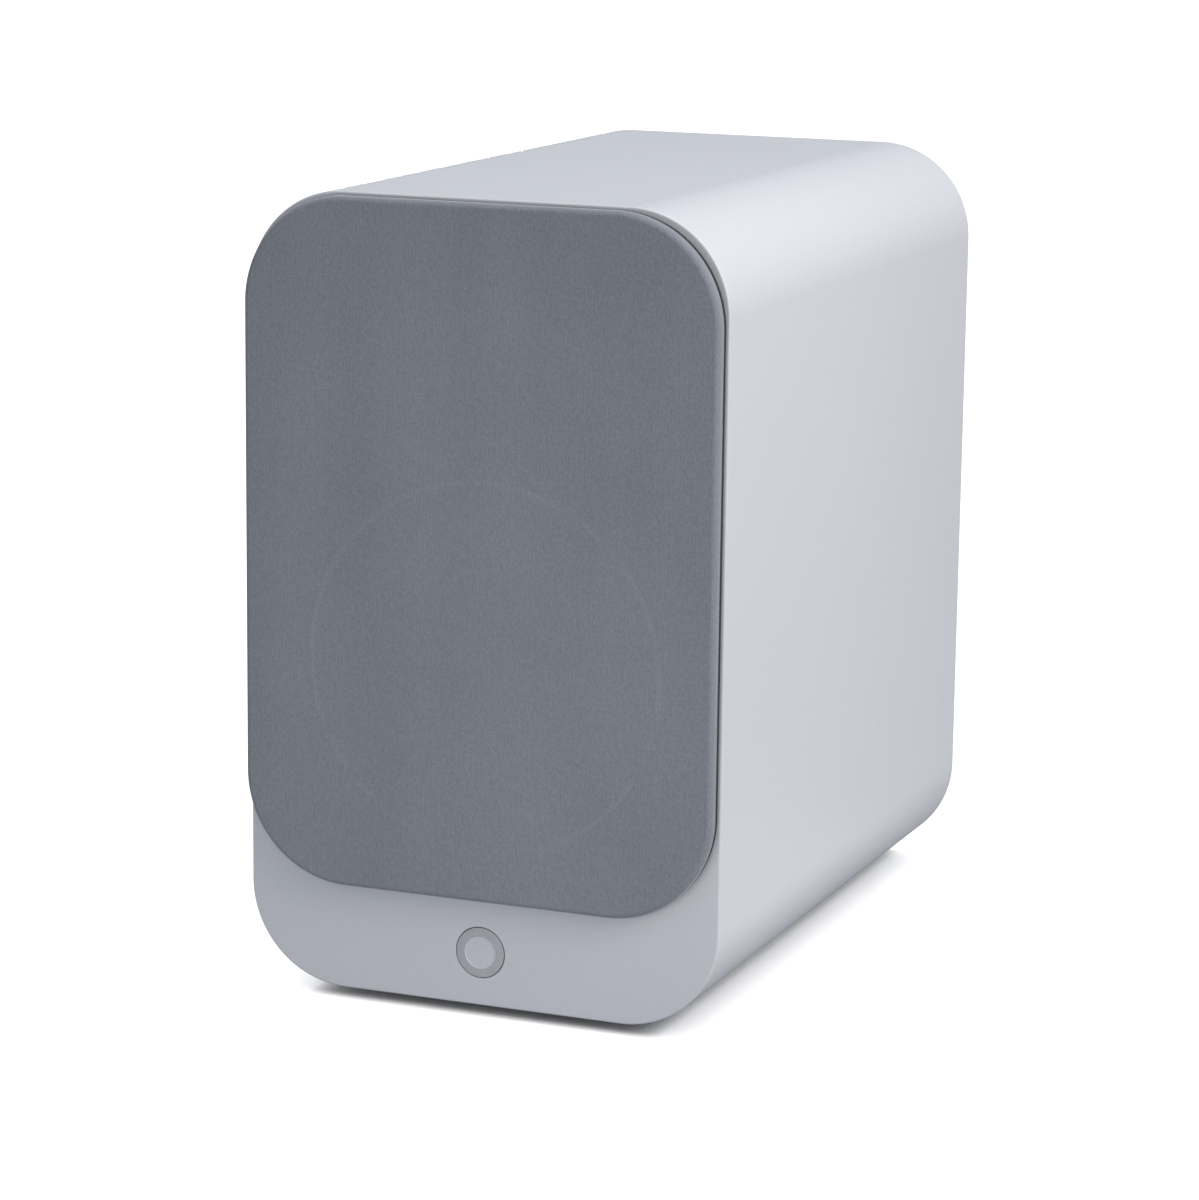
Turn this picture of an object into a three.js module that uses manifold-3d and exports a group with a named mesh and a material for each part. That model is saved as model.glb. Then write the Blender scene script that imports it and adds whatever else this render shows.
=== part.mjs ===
// A two-way bookshelf speaker with a magnetic cloth grille, in millimetres, +Z up.
// The front faces -Y. The origin is under the middle of the whole object, on the surface it stands on.
// While it is built, depth y = 0 is the front face of the cabinet and z = 0 is its underside;
// the group at the end lifts it onto its feet and centres it front to back.
import * as THREE from "three";
import { mergeVertices } from "three/addons/utils/BufferGeometryUtils.js";
import Module from "manifold-3d";

// ---------------------------------------------------------------- driving dimensions
const GAP = 0.3; // room left between pieces that are glued, screwed or seated together
const RUN = 0.6; // room around pieces that move
const EPS = 1; // how far a cutting tool reaches past what it cuts

const cabinetWidth = 170;
const cabinetHeight = 271;
const cabinetDepth = 258.5;
const cabinetCorner = 34.4; // radius of the four long edges
const wall = 12; // side wall, MDF
const skin = 3; // front skin, one piece with the walls
const core = 15; // baffle core behind the skin
const rearBoard = 15;
const brace = 12;
const braceDepth = 98; // front face of the brace, behind the front of the cabinet
const braceRim = 16;
const braceBar = 18;

const footRadius = 7;
const footHeight = 3;
const footInsetX = 12; // from the end of the flat underside
const footInsetY = 26;

const badgeRadius = 8.6;
const badgeThickness = 0.9;
const badgeZ = 18.4;

const grilleInset = 1; // cabinet edge to cloth, at the sides and the top
const grilleBottom = 37.5;
const grilleCorner = 36.7;
const grilleThickness = 6.5;
const grilleEdge = 4; // radius round the front edge of the cloth
const clothThickness = 0.7;
const frameThickness = 4.2;
const frameRimSide = 12;
const frameRimTop = 14.5;
const frameRimBottom = 13;
const frameWindowCorner = 24;
const catchRadius = 4;
const catchThickness = 2;
const catchPadRadius = 7.5;
const catchMarginX = 6; // hold magnet to side wall
const catchMarginZ = 8; // hold magnet to top wall
const catchAboveBottom = 24; // lower catches above the grille's lower edge
const holdMagnetRadius = 5;
const holdMagnetThickness = 4;

const wooferZ = 116.2;
const wooferRadius = 62.7; // outside of the trim ring
const wooferScrewLand = 7; // width of the trim ring and of the flange under it
const wooferFlange = 2.2;
const ledgeDepth = 2.5; // the surround is glued to a ledge this far behind the flange
const surroundRoll = 4;
const surroundLip = 2.6;
const rubber = 0.8;
const coneDepth = 17;
const conePaper = 0.9;
const capRadius = 17;
const capRise = 6;
const coilRadius = 12.7; // inside of the former
const formerWall = 0.4;
const windingWall = 0.5;
const windingLength = 11;
const chassisDepth = 38; // front flange to back ring
const chassisMetal = 2.5;
const spokes = 6;
const spokeWidth = 9;
const spiderRadius = 33;
const spiderCloth = 0.6;
const spiderWave = 1.4;
const topPlate = 5;
const wooferMagnetRadius = 40;
const wooferMagnet = 15;
const wooferPlateInset = 3; // the plates are this much smaller in radius than the magnet
const backPlate = 5;
const poleVent = 4;

const tweeterFromTop = 54.5;
const tweeterRadius = 34;
const tweeterFlange = 1.6;
const domeRadius = 11;
const domeRise = 3.4;
const domeCloth = 0.5;
const domeRoll = 1.6;
const hornDepth = 4.5; // how far the faceplate dips to the dome
const isolation = 1.1; // soft ring under the faceplate
const tweeterPlate = 3;
const tweeterMagnet = 8;
const tweeterMagnetRadius = 24.5;
const tweeterYokePlate = 3.4;
const cupWall = 2;
const cupDepth = 38;

const portFromTop = 58;
const portBore = 20;
const portWall = 2.5;
const portLength = 92;
const portRim = 4.5; // flat of the flange outside the rounding
const portFlange = 2.5;
const portFlare = 8; // radius of the rounding at both mouths

const terminalZ = 58;
const terminalWidth = 104;
const terminalHeight = 58;
const terminalCorner = 9;
const terminalLip = 2.5;
const terminalRim = 10; // lip width around the dish
const dishDepth = 25;
const dishWall = 2.5;
const dishCorner = 8;
const postSpacing = 34;
const postRadius = 4;
const postSeatRadius = 7;
const postSeat = 2;
const postNutRadius = 7;
const postNut = 4;
const postTail = 12; // threaded end inside the cabinet
const postReach = 21.5; // outer end of the post above the dish floor
const plugBore = 2.1;
const plugBoreDepth = 15;
const wireHole = 1.4;
const clampRadius = 8;
const clampThickness = 2.6;
const knobRadius = 8.6;
const knobLength = 15;
const knobFlutes = 12;
const knobFluteDepth = 0.7;
const screwHead = 3.4;
const screwShank = 1.7;
const screwLength = 12;

const boardWidth = 104;
const boardHeight = 70;
const boardThickness = 1.6;
const boardAboveTerminal = 14;

const cableCore = 1.3; // radius of one core of an inner cable
const cableSteps = 18;
const tabLength = 4; // the woofer's connection tab
const waddingTop = 100;
const waddingDepth = 60;

// Facets of a full circle. Circles that fit one another share a count, so their gap stays even.
const wooferFacets = 36;
const tweeterFacets = 28;
const portFacets = 28;
const roundFacets = 20;
const smallFacets = 12;
// A corner of an outline is drawn with twice this many lines.
const outlineCurve = 5;
const innerCurve = 3;
const smallCurve = 2;

// ---------------------------------------------------------------- what follows from them
const coreFront = skin + GAP;
const coreBack = coreFront + core;
const rearFront = cabinetDepth - rearBoard;
const innerWidth = cabinetWidth - 2 * wall;
const innerHeight = cabinetHeight - 2 * wall;
const innerCorner = cabinetCorner - wall;
const grilleWidth = cabinetWidth - 2 * grilleInset;
const grilleTop = cabinetHeight - grilleInset;
const grilleHeight = grilleTop - grilleBottom;
const grilleZ = (grilleTop + grilleBottom) / 2;
const corners = [-1, 1].flatMap((x) => [-1, 1].map((z) => [x, z]));
const tweeterZ = cabinetHeight - tweeterFromTop;
const portZ = cabinetHeight - portFromTop;
const portFlangeRadius = portBore + portWall + portFlare + portRim;
const boardZ = terminalZ + (terminalHeight + boardHeight) / 2 + boardAboveTerminal;
const catchPlaces = corners.map(([x, z]) => [
  x * (innerWidth / 2 - holdMagnetRadius - catchMarginX),
  z < 0
    ? grilleBottom + catchAboveBottom
    : cabinetHeight - wall - holdMagnetRadius - catchMarginZ,
]);
const cornerName = ([x, z]) => `${z < 0 ? "lower" : "upper"}_${x < 0 ? "left" : "right"}`;

// ---------------------------------------------------------------- solids
const wasm = await Module();
wasm.setup();

function solidFrom(positions, triangles) {
  return new wasm.Manifold(
    new wasm.Mesh({ numProp: 3, vertProperties: positions, triVerts: new Uint32Array(triangles) }),
  );
}

// A closed three.js geometry as a solid that can be cut and joined, with its faces outwards.
function solid(geometry) {
  const flat = geometry.index ? geometry.toNonIndexed() : geometry;
  const bare = new THREE.BufferGeometry().setAttribute("position", flat.getAttribute("position"));
  const merged = mergeVertices(bare, 1e-4);
  const kept = [];
  for (let i = 0; i < merged.index.count; i += 3) {
    const [a, b, c] = [0, 1, 2].map((k) => merged.index.getX(i + k));
    if (a !== b && b !== c && c !== a) kept.push(a, b, c);
  }
  const positions = merged.attributes.position.array;
  const made = solidFrom(positions, kept);
  return made.volume() < 0 ? solidFrom(positions, kept.reverse()) : made;
}

// The vertices and triangles of a solid as a three.js geometry.
function geometryOf(made) {
  const m = made.getMesh();
  const points = new Float32Array(m.numVert * 3);
  for (let i = 0; i < m.numVert; i++) {
    points.set(m.vertProperties.subarray(i * m.numProp, i * m.numProp + 3), i * 3);
  }
  const geometry = new THREE.BufferGeometry();
  geometry.setAttribute("position", new THREE.BufferAttribute(points, 3));
  geometry.setIndex(new THREE.BufferAttribute(m.triVerts, 1));
  geometry.computeVertexNormals();
  return geometry;
}

// A rectangle with round corners, drawn in x and z about the middle.
function roundedRectangle(width, height, radius, centreZ) {
  const [x, z] = [width / 2 - radius, height / 2 - radius];
  const shape = new THREE.Shape();
  shape.absarc(x, centreZ - z, radius, -Math.PI / 2, 0, false);
  shape.absarc(x, centreZ + z, radius, 0, Math.PI / 2, false);
  shape.absarc(-x, centreZ + z, radius, Math.PI / 2, Math.PI, false);
  shape.absarc(-x, centreZ - z, radius, Math.PI, 1.5 * Math.PI, false);
  return shape;
}

// A shape in x and z made solid from depth y0 to depth y1.
function slab(shape, y0, y1, curveSegments) {
  const geometry = new THREE.ExtrudeGeometry(shape, {
    depth: y1 - y0,
    bevelEnabled: false,
    curveSegments,
  });
  return solid(geometry.rotateX(Math.PI / 2).translate(0, y1, 0));
}

// A profile of [radius, depth] points turned about the Y axis at x, z.
function turned(profile, facets, x, z) {
  const points = profile.map(([r, y]) => new THREE.Vector2(r, y));
  return solid(new THREE.LatheGeometry(points, facets).translate(x, 0, z));
}

function ring(inner, outer, y0, y1, facets, x, z) {
  return turned([[inner, y0], [outer, y0], [outer, y1], [inner, y1], [inner, y0]], facets, x, z);
}

function disc(radius, y0, y1, facets, x, z) {
  return turned([[0, y0], [radius, y0], [radius, y1], [0, y1]], facets, x, z);
}

function block(x0, x1, y0, y1, z0, z1) {
  const geometry = new THREE.BoxGeometry(x1 - x0, y1 - y0, z1 - z0);
  return solid(geometry.translate((x0 + x1) / 2, (y0 + y1) / 2, (z0 + z1) / 2));
}

// Points of an arc about [radius, depth], from angle a to angle b in degrees.
function arc(radius, depth, size, a, b, steps) {
  return Array.from({ length: steps + 1 }, (_, i) => {
    const t = THREE.MathUtils.degToRad(a + ((b - a) * i) / steps);
    return [radius + size * Math.cos(t), depth + size * Math.sin(t)];
  });
}

// ---------------------------------------------------------------- materials
const material = (color, roughness, metalness = 0) =>
  new THREE.MeshStandardMaterial({ color, roughness, metalness });
const satinWhite = material(0xd9dbe0, 0.45);
const rawBoard = material(0x9a7a57, 0.9);
const greyCloth = material(0x747984, 0.95);
const blackPlastic = material(0x1c1d1f, 0.55);
const polished = material(0xc9ccd0, 0.15, 1);
const zincPlated = material(0xb4b6b8, 0.35, 1);
const brushedAluminium = material(0x95979c, 0.4, 1);
const ferrite = material(0x2b2b2e, 0.75);
const steel = material(0x8c8e91, 0.4, 1);
const blackRubber = material(0x202122, 0.8);
const pressedPaper = material(0x2a2c2f, 0.85);
const aluminium = material(0xb9bbbe, 0.4, 1);
const resinCloth = material(0xb9a15c, 0.95);
const domeSilk = material(0x18191b, 0.7);
const goldPlated = material(0xc8a14a, 0.25, 1);
const redPlastic = material(0xa0161b, 0.4);
const greenBoard = material(0x1f5a3a, 0.6);
const copperWire = material(0xb06a3a, 0.35, 1);
const filmCapacitor = material(0x2c5f8f, 0.5);
const cement = material(0xd6d1c4, 0.9);
const wadding = material(0xe8e6df, 1);
const cableJacket = material(0x3a3c40, 0.6);

const speaker = new THREE.Group();

function add(name, made, look) {
  const mesh = new THREE.Mesh(geometryOf(made), look);
  mesh.name = name;
  speaker.add(mesh);
}

// ---------------------------------------------------------------- drive unit sizes the cabinet needs
const ringInner = wooferRadius - wooferScrewLand;
const chassisTop = ringInner + 1.2; // outside of the chassis behind its flange
const cupRadius = tweeterRadius - 5.5;

// ---------------------------------------------------------------- cabinet
// The outline of the inside of the walls, less `inset` all round.
function innerOutline(inset) {
  return roundedRectangle(
    innerWidth - 2 * inset,
    innerHeight - 2 * inset,
    innerCorner - inset,
    cabinetHeight / 2,
  );
}

function cabinetShell() {
  const outline = roundedRectangle(cabinetWidth, cabinetHeight, cabinetCorner, cabinetHeight / 2);
  return slab(outline, 0, cabinetDepth, outlineCurve)
    .subtract(slab(innerOutline(0), skin, cabinetDepth + EPS, innerCurve))
    .subtract(disc(wooferRadius + GAP, -EPS, skin + EPS, wooferFacets, 0, wooferZ))
    .subtract(disc(tweeterRadius + GAP, -EPS, skin + EPS, tweeterFacets, 0, tweeterZ))
    .subtract(disc(badgeRadius + GAP, -EPS, badgeThickness + GAP, roundFacets, 0, badgeZ));
}

function baffleCore() {
  const [front, back] = [coreFront - EPS, coreBack + EPS];
  const pocket = coreFront + holdMagnetThickness + 2 * GAP;
  let made = slab(innerOutline(GAP), coreFront, coreBack, innerCurve)
    .subtract(disc(chassisTop + GAP, front, back, wooferFacets, 0, wooferZ))
    .subtract(disc(cupRadius + GAP, front, back, tweeterFacets, 0, tweeterZ));
  for (const [x, z] of catchPlaces) {
    made = made.subtract(disc(holdMagnetRadius + GAP, front, pocket, smallFacets, x, z));
  }
  return made;
}

function windowBrace() {
  const rim = braceRim + GAP;
  const width = innerWidth - 2 * rim;
  const height = (innerHeight - 2 * rim - braceBar) / 2;
  let made = slab(innerOutline(GAP), braceDepth, braceDepth + brace, innerCurve);
  for (const side of [-1, 1]) {
    const z = cabinetHeight / 2 + (side * (height + braceBar)) / 2;
    const window = roundedRectangle(width, height, innerCorner / 2, z);
    made = made.subtract(slab(window, braceDepth - EPS, braceDepth + brace + EPS, smallCurve));
  }
  return made;
}

const dishWidth = terminalWidth - 2 * terminalRim;
const dishHeight = terminalHeight - 2 * terminalRim;
const dishFloor = cabinetDepth - dishDepth; // the floor's outer side
const screwPlaces = corners.map(([x, z]) => [
  x * (terminalWidth / 2 - terminalRim / 2 - 1),
  terminalZ + z * (terminalHeight / 2 - terminalRim / 2 - 1),
]);

// The terminal plate's lip or tub, larger by `room` all round.
function terminalForm(part, room, y0, y1) {
  const [width, height, radius] = {
    lip: [terminalWidth, terminalHeight, terminalCorner],
    tub: [dishWidth + 2 * dishWall, dishHeight + 2 * dishWall, dishCorner + dishWall],
    dish: [dishWidth, dishHeight, dishCorner],
  }[part];
  const shape = roundedRectangle(
    width + 2 * room,
    height + 2 * room,
    radius + room,
    terminalZ,
  );
  return slab(shape, y0, y1, smallCurve);
}

// A countersunk screw, or with `room` the hole that it fits.
function screwForm(x, z, room) {
  const past = room ? EPS : 0;
  return turned(
    [
      [0, cabinetDepth + past],
      [screwHead + room, cabinetDepth + past],
      [screwHead + room, cabinetDepth - 0.4 - room / 2],
      [screwShank + room, cabinetDepth - 0.4 - screwHead + screwShank - room / 2],
      [screwShank + room, cabinetDepth - screwLength - room],
      [0, cabinetDepth - screwLength - room],
    ],
    smallFacets,
    x,
    z,
  );
}

function rearPanel() {
  const seat = cabinetDepth - portFlange - GAP;
  const tube = portBore + portWall + GAP;
  const throat = [
    [0, rearFront - EPS],
    [tube, rearFront - EPS],
    [tube, seat - portFlare],
    [tube + portFlare, seat],
    [portFlangeRadius + GAP, seat],
    [portFlangeRadius + GAP, cabinetDepth + EPS],
    [0, cabinetDepth + EPS],
  ];
  let made = slab(innerOutline(GAP), rearFront, cabinetDepth, innerCurve)
    .subtract(terminalForm("lip", GAP, cabinetDepth - terminalLip - GAP, cabinetDepth + EPS))
    .subtract(terminalForm("tub", GAP, rearFront - EPS, cabinetDepth))
    .subtract(turned(throat, portFacets, 0, portZ));
  for (const [x, z] of screwPlaces) {
    made = made.subtract(screwForm(x, z, GAP));
  }
  return made;
}

add("cabinet_shell", cabinetShell(), satinWhite);
add("baffle_core", baffleCore(), rawBoard);
add("window_brace", windowBrace(), rawBoard);
add("rear_panel", rearPanel(), satinWhite);
add("front_badge", disc(badgeRadius, 0, badgeThickness, roundFacets, 0, badgeZ), brushedAluminium);

// Feet: round rubber pads under the flat part of the underside.
const footX = cabinetWidth / 2 - cabinetCorner - footInsetX;
for (const [x, side] of [[-footX, "left"], [footX, "right"]]) {
  for (const [y, end] of [[footInsetY, "front"], [cabinetDepth - footInsetY, "rear"]]) {
    const thickness = footHeight - GAP;
    const pad = new THREE.CylinderGeometry(footRadius, footRadius - 1, thickness, smallFacets);
    pad.rotateX(Math.PI / 2).translate(x, y, -GAP - thickness / 2);
    add(`foot_${end}_${side}`, solid(pad), blackRubber);
  }
}

// Damping: a wad of polyester fibre that fills the bottom of the cabinet behind the brace.
const waddingFront = braceDepth + brace + GAP;
add(
  "damping_wadding",
  slab(innerOutline(GAP), waddingFront, waddingFront + waddingDepth, innerCurve).intersect(
    block(-cabinetWidth, cabinetWidth, 0, cabinetDepth, 0, waddingTop),
  ),
  wadding,
);

// Magnets let into the baffle core, which hold the grille through the skin.
for (const [i, [x, z]] of catchPlaces.entries()) {
  const y = coreFront + GAP;
  const magnet = disc(holdMagnetRadius, y, y + holdMagnetThickness, smallFacets, x, z);
  add(`hold_magnet_${cornerName(corners[i])}`, magnet, polished);
}

// ---------------------------------------------------------------- grille
const frameBack = -GAP;
const frameFront = -grilleThickness + clothThickness + GAP;
const clothSide = clothThickness + GAP; // cloth edge to frame edge

// The cloth's outer form less `inset` all round, cut off flat at the back.
function trayForm(inset, back) {
  const edge = grilleEdge - inset;
  const side = 2 * (inset + edge);
  const shape = roundedRectangle(
    grilleWidth - side,
    grilleHeight - side,
    grilleCorner - inset - edge,
    grilleZ,
  );
  const geometry = new THREE.ExtrudeGeometry(shape, {
    depth: 2 * grilleThickness,
    bevelThickness: edge,
    bevelSize: edge,
    bevelSegments: 3,
    curveSegments: outlineCurve,
  });
  geometry.rotateX(Math.PI / 2).translate(0, grilleThickness + inset + edge, 0);
  const [w, h] = [cabinetWidth, cabinetHeight];
  return solid(geometry).subtract(block(-w, w, back, 4 * grilleThickness, -h, 2 * h));
}

function grilleFrame() {
  const windowHeight = grilleHeight - frameRimTop - frameRimBottom;
  const window = roundedRectangle(
    grilleWidth - 2 * frameRimSide,
    windowHeight,
    frameWindowCorner,
    grilleBottom + frameRimBottom + windowHeight / 2,
  );
  const back = frameFront + frameThickness;
  const pocket = frameBack - catchThickness - GAP;
  // The frame is the cloth's form, one cloth further in, less the window and a step at the back.
  let made = trayForm(clothSide, back).subtract(slab(window, frameFront - EPS, EPS, innerCurve));
  for (const [x, z] of catchPlaces) {
    made = made
      .add(disc(catchPadRadius, frameFront, frameBack, roundFacets, x, z))
      .subtract(disc(catchRadius + GAP, pocket, EPS, smallFacets, x, z));
  }
  return made;
}

add("grille_frame", grilleFrame(), blackPlastic);
add("grille_cloth", trayForm(0, frameBack).subtract(trayForm(clothThickness, EPS)), greyCloth);
for (const [i, [x, z]] of catchPlaces.entries()) {
  const plate = disc(catchRadius, frameBack - catchThickness, frameBack, smallFacets, x, z);
  add(`grille_catch_${cornerName(corners[i])}`, plate, steel);
}

// ---------------------------------------------------------------- woofer
const flangeFront = skin - wooferFlange;
const ledgeInner = ringInner - surroundLip - GAP;
const ledgeFront = skin + ledgeDepth;
const rollCentre = ledgeInner - surroundRoll + GAP;
const coneRadius = rollCentre - surroundRoll;
const neckRadius = coilRadius + formerWall + GAP;
const neckDepth = ledgeFront + GAP + coneDepth;
const backRing = skin + chassisDepth;
const wooferPlateRadius = wooferMagnetRadius - wooferPlateInset;
const plateFront = backRing + GAP;
const magnetFront = plateFront + topPlate + GAP;
const yokeFront = magnetFront + wooferMagnet + GAP;
const windingRadius = coilRadius + formerWall + windingWall;
const gapBore = windingRadius + RUN;
const spiderDepth = backRing - 9;

const turnedWoofer = (profile, facets) => turned(profile, facets, 0, wooferZ);

function trimRing() {
  const back = flangeFront - GAP;
  return turnedWoofer(
    [
      [wooferRadius, back],
      [wooferRadius, back - 1.2],
      [wooferRadius - 1, back - 2],
      [ringInner + 2.4, back - 2],
      [ringInner, back - 0.6],
      [ringInner, back],
      [wooferRadius, back],
    ],
    wooferFacets,
  );
}

function wooferChassis() {
  const m = chassisMetal;
  const top = ledgeFront + m;
  const shelf = spiderDepth + spiderCloth + GAP;
  // The outside of the sloping wall at a given depth.
  const wallAt = (y) =>
    THREE.MathUtils.mapLinear(y, top, backRing - m, chassisTop, wooferPlateRadius);
  let made = turnedWoofer(
    [
      [wooferRadius, flangeFront],
      [wooferRadius, skin],
      [chassisTop, skin],
      [chassisTop, top],
      [wooferPlateRadius, backRing - m],
      [wooferPlateRadius, backRing],
      [gapBore + 1, backRing],
      [gapBore + 1, backRing - m],
      [wooferPlateRadius - m, backRing - m],
      [wallAt(shelf + 2) - m, shelf + 2],
      [spiderRadius - 3, shelf + 2],
      [spiderRadius - 3, shelf],
      [wallAt(shelf) - m, shelf],
      [chassisTop - m, top],
      [ledgeInner, top],
      [ledgeInner, ledgeFront],
      [ringInner + GAP, ledgeFront],
      [ringInner + GAP, flangeFront],
      [wooferRadius, flangeFront],
    ],
    wooferFacets,
  );
  // Windows between the spokes.
  const half = Math.PI / spokes - Math.asin(spokeWidth / 2 / wooferPlateRadius);
  for (let i = 0; i < spokes; i++) {
    const middle = ((i + 0.5) * 2 * Math.PI) / spokes + Math.PI / 2;
    const wedge = new THREE.Shape();
    wedge.moveTo(spiderRadius * Math.cos(middle - half), spiderRadius * Math.sin(middle - half));
    wedge.lineTo(2 * wooferRadius * Math.cos(middle - half), 2 * wooferRadius * Math.sin(middle - half));
    wedge.lineTo(2 * wooferRadius * Math.cos(middle + half), 2 * wooferRadius * Math.sin(middle + half));
    wedge.lineTo(spiderRadius * Math.cos(middle + half), spiderRadius * Math.sin(middle + half));
    const cutter = slab(wedge, top + 2, shelf - 1, 1);
    made = made.subtract(cutter.translate([0, 0, wooferZ]));
  }
  // The tab that the leads are soldered to.
  const tabFoot = wooferZ + wooferPlateRadius - m;
  const tabTop = wooferZ + wooferPlateRadius + tabLength;
  return made.add(block(-4.5, 4.5, backRing - m, backRing, tabFoot, tabTop));
}

// The depth of the cone's front at a radius: steep at the neck, shallow at the edge.
function coneFrontAt(radius) {
  const t = (radius - neckRadius) / (coneRadius - neckRadius);
  return neckDepth - coneDepth * Math.sin((t * Math.PI) / 2);
}

function wooferCone() {
  const steps = 6;
  const front = Array.from({ length: steps + 1 }, (_, i) => {
    const r = THREE.MathUtils.lerp(neckRadius, coneRadius, i / steps);
    return [r, coneFrontAt(r)];
  });
  // Measured along the depth, a steep wall is thicker for the same paper.
  const back = front.map(([r, y], i) => [r, y + conePaper * (1.8 - (0.8 * i) / steps)]);
  return turnedWoofer([...front, ...back.reverse(), front[0]], wooferFacets);
}

function dustCap() {
  const wallAcross = 0.7;
  const foot = coneFrontAt(capRadius) - 2 * GAP;
  const shell = (inset) => {
    const curve = arc(0, 0, 1, -90, 0, 4);
    return curve.map(([r, y]) => [
      Math.abs(r) * (capRadius - inset),
      foot + y * (capRise - inset),
    ]);
  };
  const outer = shell(0);
  const inner = shell(wallAcross).reverse();
  outer[0][0] = 0;
  inner[inner.length - 1][0] = 0;
  return turnedWoofer([...outer, ...inner], roundFacets);
}

function wooferSurround() {
  const y = ledgeFront - GAP;
  const lip = (r) => coneFrontAt(r) - GAP;
  const inner = coneRadius - surroundLip;
  const over = arc(rollCentre, y, surroundRoll, 0, -180, 6);
  const under = arc(rollCentre, y, surroundRoll - rubber, -180, 0, 6);
  return turnedWoofer(
    [
      [ringInner - GAP, y],
      [ringInner - GAP, y - rubber],
      ...over.slice(1, -1),
      [inner, lip(inner) - rubber],
      [inner, lip(inner)],
      ...under.slice(0, -1),
      [rollCentre + surroundRoll - rubber, y],
      [ringInner - GAP, y],
    ],
    wooferFacets,
  );
}

function wooferSpider() {
  const waves = 4;
  const inner = coilRadius + formerWall + GAP;
  const steps = 2 * waves;
  const front = Array.from({ length: steps + 1 }, (_, i) => {
    const height = i === 0 || i === steps ? 0 : spiderWave * (i % 2 ? 1 : -1);
    return [THREE.MathUtils.lerp(inner, spiderRadius, i / steps), spiderDepth - height];
  });
  const back = front.map(([r, y]) => [r, y + spiderCloth]).reverse();
  return turnedWoofer([...front, ...back, front[0]], roundFacets);
}

function wooferVoiceCoil() {
  const middle = plateFront + topPlate / 2;
  const [front, back] = [middle - windingLength / 2, middle + windingLength / 2];
  const former = coilRadius + formerWall;
  const top = neckDepth - 2;
  return turnedWoofer(
    [
      [coilRadius, top],
      [former, top],
      [former, front],
      [windingRadius, front],
      [windingRadius, back],
      [coilRadius, back],
      [coilRadius, top],
    ],
    roundFacets,
  );
}

function wooferYoke() {
  const back = yokeFront + backPlate;
  const pole = coilRadius - RUN;
  return turnedWoofer(
    [
      [poleVent, plateFront - 1],
      [pole, plateFront - 1],
      [pole, yokeFront],
      [wooferPlateRadius, yokeFront],
      [wooferPlateRadius, back - 1],
      [wooferPlateRadius - 1, back],
      [poleVent, back],
      [poleVent, plateFront - 1],
    ],
    roundFacets,
  );
}

const wooferRing = (inner, outer, front, thickness) =>
  ring(inner, outer, front, front + thickness, roundFacets, 0, wooferZ);

add("woofer_trim_ring", trimRing(), polished);
add("woofer_chassis", wooferChassis(), blackPlastic);
add("woofer_surround", wooferSurround(), blackRubber);
add("woofer_cone", wooferCone(), pressedPaper);
add("woofer_dust_cap", dustCap(), pressedPaper);
add("woofer_spider", wooferSpider(), resinCloth);
add("woofer_voice_coil", wooferVoiceCoil(), aluminium);
add("woofer_top_plate", wooferRing(gapBore, wooferPlateRadius, plateFront, topPlate), zincPlated);
add(
  "woofer_magnet",
  wooferRing(wooferMagnetRadius / 2, wooferMagnetRadius, magnetFront, wooferMagnet),
  ferrite,
);
add("woofer_yoke", wooferYoke(), zincPlated);

// ---------------------------------------------------------------- tweeter
const faceBack = skin - isolation - GAP;
const faceFront = faceBack - tweeterFlange;
const domePlane = faceFront + hornDepth; // the plane on which the dome's surround lies
const throat = domeRadius + GAP + 2 * domeRoll + RUN;
const tweeterPlateFront = domePlane + 1.5;
const tweeterMagnetFront = tweeterPlateFront + tweeterPlate + GAP;
const tweeterYokeFront = tweeterMagnetFront + tweeterMagnet + GAP;
const cupFront = faceBack + GAP;
const cupBack = cupFront + cupDepth;

const turnedTweeter = (profile, facets) => turned(profile, facets, 0, tweeterZ);

function tweeterFaceplate() {
  const r = tweeterRadius;
  const nose = tweeterMagnetRadius - 1;
  return turnedTweeter(
    [
      [r, faceBack],
      [r, faceFront + 0.5],
      [r - 0.5, faceFront],
      [r - 5, faceFront],
      [r - 11, faceFront + 1.1],
      [throat + 3, faceFront + 2.6],
      [throat, domePlane - 1],
      [throat, tweeterPlateFront - GAP],
      [nose, tweeterPlateFront - GAP],
      [nose, domePlane - 0.6],
      [cupRadius - cupWall - 1, faceBack],
      [r, faceBack],
    ],
    tweeterFacets,
  );
}

// A shallow spherical cap of cloth.
function tweeterDome() {
  const sphere = (domeRadius ** 2 + domeRise ** 2) / (2 * domeRise);
  const half = THREE.MathUtils.radToDeg(Math.asin(domeRadius / sphere));
  const centre = domePlane - GAP + sphere - domeRise;
  const outer = arc(0, centre, sphere, -90, -90 + half, 5);
  const inner = arc(0, centre, sphere - domeCloth, -90 + half, -90, 5);
  outer[0][0] = 0;
  inner[inner.length - 1][0] = 0;
  return turnedTweeter([...outer, ...inner], roundFacets);
}

function tweeterSurround() {
  const centre = domeRadius + GAP + domeRoll;
  const over = arc(centre, domePlane, domeRoll, 0, -180, 4);
  const under = arc(centre, domePlane, domeRoll - domeCloth, -180, 0, 4);
  return turnedTweeter([...over, ...under, over[0]], roundFacets);
}

function tweeterYoke() {
  const pole = domeRadius - domeCloth - RUN;
  const back = tweeterYokeFront + tweeterYokePlate;
  return turnedTweeter(
    [
      [0, tweeterPlateFront],
      [pole, tweeterPlateFront],
      [pole, tweeterYokeFront],
      [tweeterMagnetRadius - 2, tweeterYokeFront],
      [tweeterMagnetRadius - 2, back],
      [0, back],
    ],
    roundFacets,
  );
}

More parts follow.
